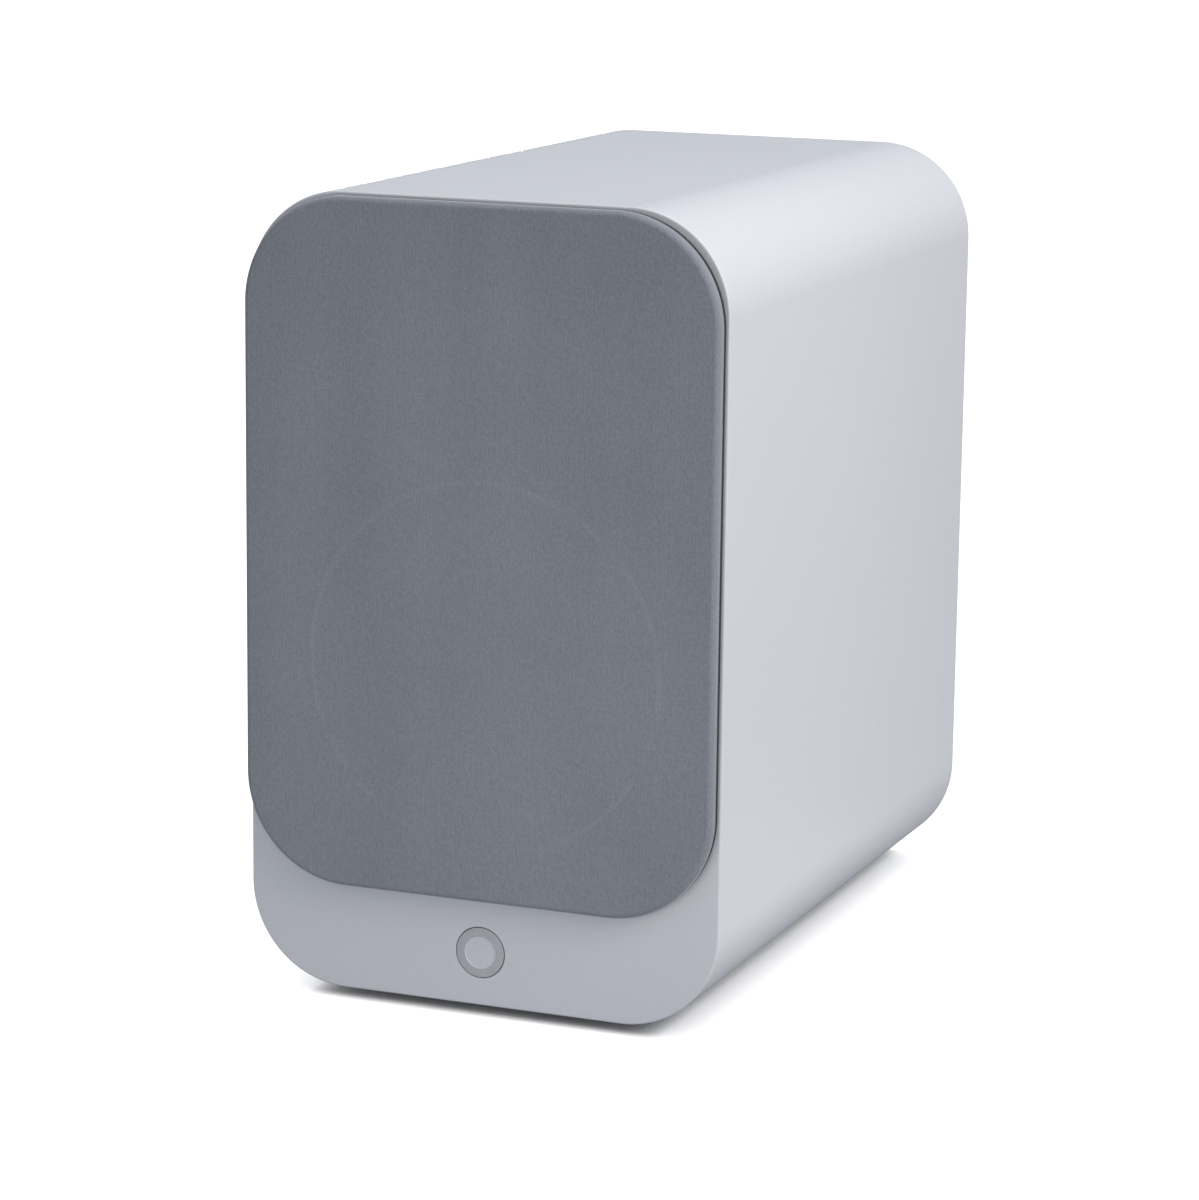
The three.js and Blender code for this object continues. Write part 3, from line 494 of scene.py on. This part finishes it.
def settled(piece):
    """Makes a piece's modifiers part of its mesh."""
    evaluated = piece.evaluated_get(bpy.context.evaluated_depsgraph_get())
    piece.data = bpy.data.meshes.new_from_object(evaluated)
    piece.modifiers.clear()
    return piece


def cut(piece, *tools, how="DIFFERENCE"):
    """Cuts the tools' forms out of a piece, or welds them on, and throws the tools away."""
    for tool in tools:
        change = piece.modifiers.new("cut", "BOOLEAN")
        change.operation, change.solver, change.object = how, "EXACT", tool
    settled(piece)
    for tool in tools:
        bpy.data.objects.remove(tool)
    return piece


def eased(piece, width, angle=40):
    """Takes the sharpness off a piece's edges, as sanding or a mould does."""
    change = piece.modifiers.new("eased", "BEVEL")
    change.width, change.segments = width * MM, 2
    change.limit_method, change.angle_limit = "ANGLE", math.radians(angle)
    change.use_clamp_overlap = True
    return settled(piece)


def fit(piece, name, body, slot, finishes, *nodes, which=None, sharp=35):
    """Names a finished form, gives it its finishes, and puts it on its body for its CAD nodes.
    which(x, y, z) says which finish a face in that place has."""
    piece.name = piece.data.name = name
    piece.data.materials.clear()
    for one in finishes:
        piece.data.materials.append(one)
    for face in piece.data.polygons:
        x, y, z = face.center
        place = (x / MM, (y - FACE) / MM, (z - UNDERSIDE) / MM)
        face.material_index = which(*place) if which else 0
    piece.data.shade_smooth()
    piece.data.set_sharp_from_angle(angle=math.radians(sharp))
    change = piece.modifiers.new("even_normals", "WEIGHTED_NORMAL")
    change.keep_sharp = True
    if body:
        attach(piece, body)
    if nodes:
        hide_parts(*nodes)
    return piece


def within(size, x, z, middle):
    """How far inside a rounded rectangle a place is."""
    width, height, corner = size
    dx = abs(x) - width / 2 + corner
    dz = abs(z - middle) - height / 2 + corner
    return corner - math.hypot(max(dx, 0), max(dz, 0)) - min(max(dx, dz), 0)


def disc(radius, y0, y1, x=0, z=0, count=ROUND):
    """A plain round tool for cutting."""
    return skin(turned([(radius, y0), (radius, y1)], x, z, count))


# ---------------------------------------------------------------- studio
LENS = 120.61  # focal length, for film 36 mm wide
FLOOR_REACH = 20000  # past the edge of every view
GAP_REACH = 5.5  # how near the speaker the floor darkens
FLOOR_GLARE = (3.6, 3.46, 3.22)  # tone of the floor as the camera sees it
FLOOR_TONE = (0.9, 0.9, 0.9, 1)  # and as it lights the speaker
AIR_TONE = (0.385, 0.4, 0.43, 1)  # light of the room, a little blue
BACKDROP = (1, 1, 1, 1)  # what the camera sees behind
LAMPS = (
    # name, kind, place, aim, size, power, colour; metres, but the size of a sun is an angle
    ("key_softbox", "AREA", (0.86, -0.32, 0.62), (0, 0, 0.17), 0.55, 5.8, (1, 0.97, 0.93)),
    ("front_fill", "AREA", (0.02, -0.37, 0.04), (0, -0.13, 0.09), 0.2, 0.19, (1, 1, 1)),
    ("rear_softbox", "AREA", (-0.5, 0.95, 0.13), (0, 0.1, 0.13), 0.23, 3.5, (1, 1, 1)),
    ("overhead_silk", "SUN", (0.1, 0.2, 1), (0, 0, 0), math.radians(40), 1.24, (0.97, 0.985, 1)),
    ("ground_card", "AREA", (0.25, 0, 0.004), (0.25, 0, 1), 0.3, 0.05, (1, 1, 1)),
)


def studio():
    """The camera, a white paper floor and soft lamps."""
    scene = bpy.context.scene
    scene.view_settings.view_transform = "Standard"
    lens = bpy.data.cameras.new("studio_camera")
    lens.lens, lens.sensor_width = LENS, 36
    lens.clip_start, lens.clip_end = 0.05, 60
    camera = bpy.data.objects.new("studio_camera", lens)
    scene.collection.objects.link(camera)
    # To the right of the speaker, in front of it and a little above, looking down on it.
    camera.matrix_world = Matrix(
        (
            (0.92684618, -0.08680832, 0.36526767, 0.5184),
            (0.37525405, 0.18347355, -0.90858233, -1.3122),
            (0.01185555, 0.97918424, 0.20262693, 0.4102),
            (0, 0, 0, 1),
        )
    )
    scene.camera = camera

    low = (cad_box[0][2] - UNDERSIDE) / MM
    turns = ((-1, -1), (1, -1), (1, 1), (-1, 1))
    floor = form([(x * FLOOR_REACH, y * FLOOR_REACH, low) for x, y in turns], [(0, 1, 2, 3)])
    floor.name = "studio_floor"
    paper = bpy.data.materials.new("white_paper")
    tree = bare(paper)
    # Overexposed on purpose, as a white studio ground is, so that only the gap under the speaker
    # and a narrow border show shadow, and warm enough to take the blue out of the air. That shadow
    # is partly real shade from the air and partly painted shadow: an occlusion node darkens the
    # floor's colour near the speaker.
    painted_gap_shadow = node(tree, "AmbientOcclusion", {"Distance": GAP_REACH * MM}, samples=8).outputs["AO"]
    glare = node(tree, "VectorMath", {0: FLOOR_GLARE}, {"Scale": painted_gap_shadow}, operation="SCALE")
    seen = node(tree, "LightPath").outputs["Is Camera Ray"]
    white = node(tree, "Mix", {"A": FLOOR_TONE}, {"Factor": seen, "B": glare}, data_type="RGBA")
    node(
        tree, "OutputMaterial", links={"Surface": node(tree, "BsdfDiffuse", links={"Color": white})}
    )
    floor.data.materials.append(paper)

    world = bpy.data.worlds.new("studio_air")
    tree = bare(world)
    seen = node(tree, "LightPath").outputs["Is Camera Ray"]
    air = node(tree, "Mix", {"A": AIR_TONE, "B": BACKDROP}, {"Factor": seen}, data_type="RGBA")
    node(tree, "OutputWorld", links={"Surface": node(tree, "Background", links={"Color": air})})
    scene.world = world

    for name, kind, place, aim, size, power, tint in LAMPS:
        lamp = bpy.data.lights.new(name, kind)
        lamp.energy, lamp.color = power, tint
        if kind == "AREA":
            lamp.shape, lamp.size = "SQUARE", size
        else:
            lamp.angle = size
        holder = bpy.data.objects.new(name, lamp)
        scene.collection.objects.link(holder)
        holder.location = place
        holder.visible_camera = False
        holder.rotation_mode = "QUATERNION"
        holder.rotation_quaternion = (Vector(aim) - Vector(place)).to_track_quat("-Z", "Y")
        # Flags keep the lamps off the ground, which the air of the studio lights evenly.
        flagged = bpy.data.collections.new(f"{name}_flag")
        flagged.objects.link(floor)
        holder.light_linking.receiver_collection = flagged
        flagged.collection_objects[0].light_linking.link_state = "EXCLUDE"


studio()


# ---------------------------------------------------------------- cabinet
def cabinet_wrap():
    """Walls and front skin in one piece, open at the back, with the holes for the drivers."""
    profile = rounded(
        [(16, SKIN), (WALL, SKIN, 1), (WALL, DEPTH, 0.3), (0, DEPTH, 0.7), (0, 0, 0.8), (4, 0)]
    )
    made = cut(
        skin(slab(CABINET, profile, z=CABINET_Z, steps=28)),
        disc(WOOFER_HOLE, -5, 5, z=WOOFER_Z),
        disc(TWEETER_HOLE, -5, 5, z=TWEETER_Z),
        disc(BADGE_SEAT, -5, 1.2, z=BADGE_Z, count=64),
    )
    eased(made, BOARD_EASE)

    def where(x, y, z):
        inside = within(CABINET, x, z, CABINET_Z) > WALL - LACQUERED
        return 1 if LACQUERED < y < DEPTH - LACQUERED and inside else 0

    fit(
        made, "cabinet_wrap", "cabinet", "satin_white_lacquer", [lacquer, board],
        "cabinet_shell", which=where,
    )


def rear_board():
    """The back, let in flush, with a seat for the port and one for the terminal plate."""
    front, seat = DEPTH - REAR_BOARD, DEPTH - FLANGE - SLACK
    profile = rounded([(4, front), (0, front, 0.5), (0, DEPTH, 0.5), (4, DEPTH)])
    lip, tub = grown(TERMINAL_LIP, SLACK), grown(TERMINAL_TUB, SLACK)
    tube, neck, flange = PORT_TUBE + SLACK, PORT_NECK + SLACK, PORT_FLANGE + SLACK
    throat = [(tube, front - 2), (tube, seat - 8), (neck, seat), (flange, seat)]
    made = cut(
        skin(slab(grown(CABINET, -WALL - SLACK), profile, z=CABINET_Z)),
        skin(slab(lip, [(0, seat), (0, DEPTH + 2)], z=TERMINAL_Z)),
        skin(slab(tub, [(0, front - 2), (0, DEPTH + 1)], z=TERMINAL_Z)),
        skin(turned(throat + [(flange, DEPTH + 2)], z=PORT_Z)),
    )
    eased(made, BOARD_EASE)

    def where(x, y, z):
        return 0 if y > DEPTH - LACQUERED else 1

    fit(
        made, "rear_board", "cabinet", "satin_white_lacquer", [lacquer, board], "rear_panel",
        which=where,
    )


def badge():
    """A plain disc let in flush: a brushed rim round a lighter middle, sunk by 0.3 mm."""
    sunk, rim, edge, back = 0.3, 5.7, 8.6, 0.9
    profile = rounded(
        [(0, sunk), (rim - 0.2, sunk, 0.12), (rim, 0, 0.08), (edge, 0, 0.15), (edge, back, 0.1),
         (0, back)]
    )

    def where(x, y, z):
        return 1 if y < sunk + 0.05 and math.hypot(x, z - BADGE_Z) < rim - 0.05 else 0

    fit(
        skin(turned(profile, z=BADGE_Z, count=96), ends="open"), "round_badge", "cabinet",
        "satin_aluminium", [badge_metal, badge_paint], "front_badge", which=where,
    )


def feet():
    """Four glued rubber pads, a little wider where they meet the cabinet."""
    profile = rounded([(0, -0.3), (7, -0.3, 0.3), (6, -3, 0.5), (0, -3)])
    for x, side in ((-38.6, "left"), (38.6, "right")):
        for y, end in ((26, "front"), (232.5, "rear")):
            upright = [
                [(px, y + pz, py) for px, py, pz in ring] for ring in turned(profile, x, 0, 64)
            ]
            fit(
                skin(upright, ends="open"), f"rubber_foot_{end}_{side}", "cabinet",
                "black_rubber", [rubber], f"foot_{end}_{side}",
            )


cabinet_wrap()
rear_board()
badge()
feet()


# ---------------------------------------------------------------- grille
CATCHES = [
    (62 * sx, z, f"{row}_{side}")
    for sx, side in ((-1, "left"), (1, "right"))
    for z, row in ((61.5, "lower"), (246, "upper"))
]


def grille_sheet():
    """The cloth, stretched over the frame, its edge tucked into the groove behind."""
    hem = -2.5
    profile = rounded(
        [(14, GRILLE_FRONT), (0, GRILLE_FRONT, 4), (0, hem, 0.35), (3.3, hem)], steps=8
    )
    sheet = skin(slab(GRILLE, profile, z=GRILLE_Z, steps=32), ends="open")
    shaped = bmesh.new()
    shaped.from_mesh(sheet.data)
    # The flat middle of the face is one polygon; the hem stays open.
    rim = [e for e in shaped.edges if e.is_boundary and e.verts[0].co.y < FACE + 2 * hem * MM]
    bmesh.ops.contextual_create(shaped, geom=rim)
    bmesh.ops.recalc_face_normals(shaped, faces=shaped.faces)
    shaped.to_mesh(sheet.data)
    shaped.free()
    fit(sheet, "stretched_cloth", "grille", "grey_grille_cloth", [cloth], "grille_cloth")


def frame_moulding():
    """The moulded frame: a rounded rim with a groove for the cloth, a black edge behind it, a
    large window, and four pads that hold the catches."""
    front, back = -5.6, -0.4
    outer = rounded(
        [(6, back), (0.15, back, 0.2), (0.15, -2.2, 0.1), (3.6, -2.2), (3.6, -2.8),
         (1.1, -2.8, 0.1), (1.1, front, 3), (6, front)]
    )
    inner = rounded([(-3, front), (0, front, 0.8), (0, back, 0.5), (-3, back)])
    rim = skin(
        slab(GRILLE, outer, z=GRILLE_Z, steps=24) + slab((144, 205, 24), inner, z=153, steps=24),
        ends="joined",
    )
    pads = []
    for x, z, _ in CATCHES:
        cup = rounded([(7.5, -5.4), (7.5, -0.3, 0.3), (4.3, -0.3, 0.2), (4.3, -2.6), (0, -2.6)])
        pads.append(skin(turned([(0, -5.4)] + cup, x, z, 64), ends="open"))
    fit(
        cut(rim, *pads, how="UNION"), "frame_moulding", "grille", "black_abs", [abs_grain],
        "grille_frame",
    )
    for x, z, place in CATCHES:
        plate = rounded([(0, -2.3), (4, -2.3, 0.2), (4, -0.3, 0.3), (0, -0.3)])
        fit(
            skin(turned(plate, x, z, 64), ends="open"), f"catch_plate_{place}", "grille",
            "zinc_plated_steel", [zinc], f"grille_catch_{place}",
        )


grille_sheet()
frame_moulding()


# ---------------------------------------------------------------- pieces taken over from the CAD
# They keep the shapes they have there and get the finishes of the real ones.
CARRIED_OVER = {
    board: ["baffle_core", "window_brace"],
    nickel: [f"hold_magnet_{place}" for _, _, place in CATCHES],
    abs_grain: ["woofer_chassis", "tweeter_rear_cup"],
    rubber: ["tweeter_isolation_ring"],
    foil: ["woofer_voice_coil"],
    copper: ["tweeter_voice_coil", "bass_inductor", "treble_inductor"],
    zinc: ["woofer_top_plate", "woofer_yoke", "tweeter_top_plate", "tweeter_yoke"],
    ferrite: ["woofer_magnet", "tweeter_magnet"],
    solder_mask: ["crossover_board"],
    film: ["bass_capacitor", "treble_capacitor"],
    cement: ["damping_resistor"],
    jacket: ["input_cable", "woofer_cable", "tweeter_cable"],
}
for dressing, names in CARRIED_OVER.items():
    for name in names:
        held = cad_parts[name].data
        held.materials.clear()
        held.materials.append(dressing)


# ---------------------------------------------------------------- drivers
def arc(x, y, radius, start, end, steps=16):
    """Points on an arc of a profile, from one angle to the other in degrees."""
    turns = [math.radians(start + (end - start) * k / steps) for k in range(steps + 1)]
    return [(x + radius * math.cos(t), y + radius * math.sin(t)) for t in turns]


def flexed(piece, outer, inner, z):
    """A ring that is glued to one body at its outer edge and to another at its inner one. Its
    placement is baked into its mesh; how far each point lies from the outer radius towards the
    inner one is worked out, but nothing uses it."""
    place = Vector((0, FACE, z * MM + UNDERSIDE))
    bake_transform(piece)
    for vertex in piece.data.vertices:
        off = vertex.co - place
        t = (outer - math.hypot(off.x, off.z) / MM) / (outer - inner)
        t = min(max(t, 0), 1)


CONE_NECK, CONE_WIDTH = 13.4, 31.7  # radius at the voice coil, and from there to the surround
CONE_DEEP, CONE_RISE = 22.8, 17  # depth at the neck, and how far forward the edge is of it
CAP_RADIUS, CAP_RISE = 17, 6
DOME_RADIUS, DOME_RISE, DOME_EDGE = 11, 3.4, 4.2  # and the depth of its edge


def cone_face(radius):
    """How far back the woofer cone's face is at a radius."""
    return CONE_DEEP - CONE_RISE * math.sin(math.pi / 2 * (radius - CONE_NECK) / CONE_WIDTH)


def woofer():
    """The woofer's trim ring, surround, cone, dust cap and spider."""
    ring = rounded(
        [(55.7, 0.5), (62.7, 0.5, 0.1), (62.7, -0.7, 0.3), (61.7, -1.5, 0.5), (58.1, -1.5, 0.7),
         (55.7, -0.1, 0.3)]
    )
    fit(
        skin(turned(ring, z=WOOFER_Z, count=FINE_ROUND), ends="joined"), "nickel_trim_ring",
        "cabinet", "polished_nickel", [nickel], "woofer_trim_ring",
    )

    # A half roll 0.8 mm thick, with a lip under the trim ring and one on the cone's edge.
    middle, depth, outside, inside = 49.1, 5.2, 4, 3.2
    roll = (
        [(55.4, 4.4)]
        + arc(middle, depth, outside, -14, -168, 20)
        + [(43.6, 5.0), (42.5, 5.1), (42.5, 5.5), (44.6, 5.5)]
        + arc(middle, depth, inside, -180, 0, 20)
        + [(55.4, depth)]
    )
    surround = fit(
        skin(turned(roll, z=WOOFER_Z, count=FINE_ROUND), ends="joined"), "rubber_surround", None,
        "black_rubber", [surround_rubber], "woofer_surround",
    )
    flexed(surround, 53.6, 44.4, WOOFER_Z)

    # The paper is 0.9 mm thick at the edge and thickens towards the neck.
    steps = 28
    radii = [CONE_NECK + CONE_WIDTH * k / steps for k in range(steps + 1)]
    front = [(r, cone_face(r)) for r in radii]
    back = [(r, cone_face(r) + 0.9 * (1.8 - 0.8 * k / steps)) for k, r in enumerate(radii)]
    fit(
        skin(turned(front + back[::-1], z=WOOFER_Z, count=FINE_ROUND), ends="joined"),
        "paper_cone", "woofer_cone_assembly", "pressed_paper", [paper_cone], "woofer_cone",
    )

    foot = cone_face(CAP_RADIUS) - 0.6
    cap = [
        [(radius * math.cos(t), foot - rise * math.sin(t)) for t in quarter(12)]
        for radius, rise in ((CAP_RADIUS, CAP_RISE), (CAP_RADIUS - 0.7, CAP_RISE - 0.7))
    ]
    fit(
        skin(turned(cap[0] + cap[1][::-1], z=WOOFER_Z), ends="joined"), "paper_dust_cap",
        "woofer_cone_assembly", "pressed_paper", [paper_cone], "woofer_dust_cap",
    )

    # Four waves, 1.4 mm high, from the neck out to the chassis.
    steps = 48
    waves = []
    for k in range(steps + 1):
        swell = 1.4 * math.sin(8 * math.pi * k / steps)
        waves.append((CONE_NECK + 19.6 * k / steps, 32 - swell))
    spider = fit(
        skin(turned(waves + [(r, y + 0.6) for r, y in waves[::-1]], z=WOOFER_Z), ends="joined"),
        "corrugated_spider", None, "resin_cloth", [resin_cloth], "woofer_spider",
    )
    flexed(spider, 32, 14.5, WOOFER_Z)


def quarter(steps):
    """Angles from the rim of a cap to its top."""
    return [math.pi / 2 * k / steps for k in range(steps + 1)]


def tweeter():
    """The tweeter's faceplate with its shallow horn, its dome and the dome's surround."""
    plate = rounded(
        [(25.5, 1.6), (34, 1.6, 0.1), (34, 0, 0.5), (29, 0, 6), (23, 1.1, 6), (18.1, 2.6, 5),
         (14.7, 3.6, 0.5), (14.7, 5.7, 0.2), (23.5, 5.7), (23.5, 3.9)],
        steps=6,
    )
    fit(
        skin(turned(plate, z=TWEETER_Z), ends="joined"), "tweeter_face", "cabinet", "black_abs",
        [abs_grain], "tweeter_faceplate",
    )

    sphere = (DOME_RADIUS**2 + DOME_RISE**2) / (2 * DOME_RISE)
    half = math.asin(DOME_RADIUS / sphere)
    centre = DOME_EDGE + sphere - DOME_RISE
    turns = [half * (1 - k / 14) for k in range(15)]
    over, under = [
        [(radius * math.sin(t), centre - radius * math.cos(t)) for t in turns]
        for radius in (sphere, sphere - 0.5)
    ]
    fit(
        skin(turned(over + under[::-1], z=TWEETER_Z), ends="joined"), "silk_dome",
        "tweeter_dome_assembly", "dome_silk", [silk], "tweeter_dome",
    )
    middle, depth, outside, inside = 12.9, 4.5, 1.6, 1.1
    roll = arc(middle, depth, outside, 0, -180) + arc(middle, depth, inside, -180, 0)
    surround = fit(
        skin(turned(roll, z=TWEETER_Z), ends="joined"), "dome_surround", None, "dome_silk",
        [silk], "tweeter_surround",
    )
    flexed(surround, 14.3, 11.5, TWEETER_Z)


# ---------------------------------------------------------------- back of the cabinet
def port():
    """A moulded tube with a flange that sits flush and a rounded mouth at each end."""
    seat = DEPTH - FLANGE
    mouth, flare = 28, 8  # radius of each mouth, and of its rounding
    flange = rounded([(PORT_FLANGE, seat, 0.1), (PORT_FLANGE, DEPTH, 0.5), (30, DEPTH)])
    flares = arc(mouth, DEPTH - flare, flare, 90, 180, 14)
    flares += arc(mouth, 174.5, flare, 180, 270, 14)
    outside = rounded(
        [(mouth, 168, 1), (mouth, 169.4, 0.5), (PORT_TUBE, 177, 4), (PORT_TUBE, seat - 8, 4),
         (PORT_NECK, seat)]
    )
    fit(
        skin(turned(flange + flares + outside, z=PORT_Z), ends="joined"), "port_moulding",
        "cabinet", "black_abs", [abs_grain], "reflex_port",
    )


def bar(x0, x1, y0, y1, z0, z1):
    """A square-edged bar, for a moulded sign or for cutting a slot."""
    return skin([[(x0, y, z0), (x1, y, z0), (x1, y, z1), (x0, y, z1)] for y in (y0, y1)])


SCREWS = [
    (46 * sx, z, f"{row}_{side}")
    for sx, side in ((-1, "left"), (1, "right"))
    for z, row in ((35, "lower"), (81, "upper"))
]
DISH = DEPTH - 25  # floor of the terminal plate's dish
POST_X = 17  # the positive post; the negative one is opposite


def terminals():
    """The plate with its sunk dish, and a minus and a plus moulded above the posts."""
    seat = DEPTH - FLANGE
    tub = slab(TERMINAL_TUB, [(8, DISH - 2.5), (0, DISH - 2.5), (0, seat)], z=TERMINAL_Z)
    lip = slab(
        TERMINAL_LIP, rounded([(6, seat), (0, seat, 0.2), (0, DEPTH, 0.5), (7, DEPTH)]),
        z=TERMINAL_Z,
    )
    dish = slab(
        (84, 38, 8), rounded([(-2, DEPTH), (0, DEPTH, 1), (0, DISH, 1.5), (8, DISH)], 6),
        z=TERMINAL_Z,
    )
    tools = [disc(4.3, 225, 240, x, TERMINAL_Z, 64) for x in (-POST_X, POST_X)]
    for x, z, _ in SCREWS:
        sink = [(2.0, 250), (2.0, DEPTH - 2.2), (3.7, DEPTH - 0.5), (3.7, DEPTH + 1)]
        tools.append(skin(turned(sink, x, z, 64)))
    plate = cut(skin(tub + lip + dish), *tools)
    z = TERMINAL_Z + 13.8
    arm, half = 2.2, 0.5  # of the signs' bars
    signs = [
        bar(x - wide, x + wide, DISH - 0.5, DISH + 0.6, z - high, z + high)
        for x, wide, high in ((-POST_X, arm, half), (POST_X, arm, half), (POST_X, half, arm))
    ]
    plate = cut(plate, *signs, how="UNION")
    fit(
        eased(plate, 0.15, 60), "terminal_moulding", "cabinet", "black_abs", [abs_grain],
        "terminal_plate",
    )

    for x, z, place in SCREWS:
        head = rounded(
            [(0, DEPTH - 12), (1.7, DEPTH - 12, 0.6), (1.7, DEPTH - 2.1, 0.2),
             (3.4, DEPTH - 0.4, 0.1), (3.4, DEPTH, 0.15), (0, DEPTH)]
        )
        screw = skin(turned(head, x, z, 64), ends="open")
        slots = [
            bar(x - 1.9, x + 1.9, DEPTH - 1.4, DEPTH + 1, z - 0.42, z + 0.42),
            bar(x - 0.42, x + 0.42, DEPTH - 1.4, DEPTH + 1, z - 1.9, z + 1.9),
        ]
        fit(
            cut(screw, *slots), f"terminal_screw_head_{place}", "cabinet", "zinc_plated_steel",
            [zinc], f"terminal_screw_{place}",
        )


def posts():
    """Two binding posts: a threaded stem, a clamp washer and a fluted knob each."""
    thread, pitch = [], 1.25
    for k in range(11):
        y = DISH + 6 + pitch * k
        thread += [(4, y), (3.65, y + 0.55), (3.65, y + 0.7)]
    stem = rounded(
        [(0, 219), (4, 219, 0.5), (4, 226.7), (7, 226.7, 0.4), (7, 230.7, 0.4), (4, 230.7),
         (4, DISH + 0.3), (7, DISH + 0.3, 0.3), (7, DISH + 2.3, 0.3), (4, DISH + 2.3)]
    )
    stem += thread + rounded(
        [(4, 254), (4, 255, 0.4), (2.1, 255, 0.3), (2.1, 240, 0.1), (0, 240)]
    )[1:]
    washer = rounded([(4.6, 236.1, 0.2), (8, 236.1, 0.5), (8, 238.7, 0.5), (4.6, 238.7, 0.2)])
    grip = rounded([(4.6, 239, 0.3), (8.6, 239, 0.8), (8.6, 254, 1.2), (4.6, 254, 0.8)], 6)
    for x, pole, plastic, slot in (
        (-POST_X, "negative", black_knob, "black_plastic_gloss"),
        (POST_X, "positive", red_knob, "red_plastic"),
    ):
        fit(
            skin(turned(stem, x, TERMINAL_Z, 64), ends="open"), f"gold_post_{pole}", "cabinet",
            "gold_plated_brass", [gold], f"post_stem_{pole}",
        )
        fit(
            skin(turned(washer, x, TERMINAL_Z, 96), ends="joined"), f"clamp_washer_{pole}",
            f"washer_{pole}", slot, [plastic], f"post_washer_{pole}",
        )
        # Twelve flutes, 0.7 mm deep at the rim and gone at a radius of 6 mm.
        rings, facets = [], 192
        for radius, y in grip:
            ring = []
            for k in range(facets):
                t = 2 * math.pi * k / facets
                depth = 0.7 * (0.5 - 0.5 * math.cos(12 * t)) * max(0, (radius - 6) / 2.6)
                r = radius - depth
                ring.append((x + r * math.cos(t), y, TERMINAL_Z + r * math.sin(t)))
            rings.append(ring)
        fit(
            skin(rings, ends="joined"), f"fluted_knob_{pole}", f"knob_{pole}", slot, [plastic],
            f"post_knob_{pole}",
        )


def wadding():
    """A wad of fibre pushed in behind the brace, with a soft lumpy face."""
    edge = rounded(
        [(46, 111.5), (24, 112), (2.5, 112, 16), (2.5, 169, 16), (24, 169), (46, 168.5)], 6
    )
    middle = (0, 140.5, 56)
    # Lumps about 14 and 5 mm across; the wad is drawn in a little to leave room for them.
    lumpy = []
    for ring in slab((145, 87, 24), edge, z=middle[2], steps=24):
        lumpy.append([])
        for place in ring:
            spot = Vector(place)
            swell = noise.noise(spot / 14) + 0.5 * noise.noise(spot / 5)
            pull = 0.02 * (swell - 1.2)
            lumpy[-1].append([m + (p - m) * (1 + pull) for m, p in zip(middle, place)])
    wad = fit(
        skin(lumpy), "fibre_wad", "cabinet", "polyester_wadding", [fluff], "damping_wadding",
        sharp=80,
    )


woofer()
tweeter()
port()
terminals()
posts()
wadding()
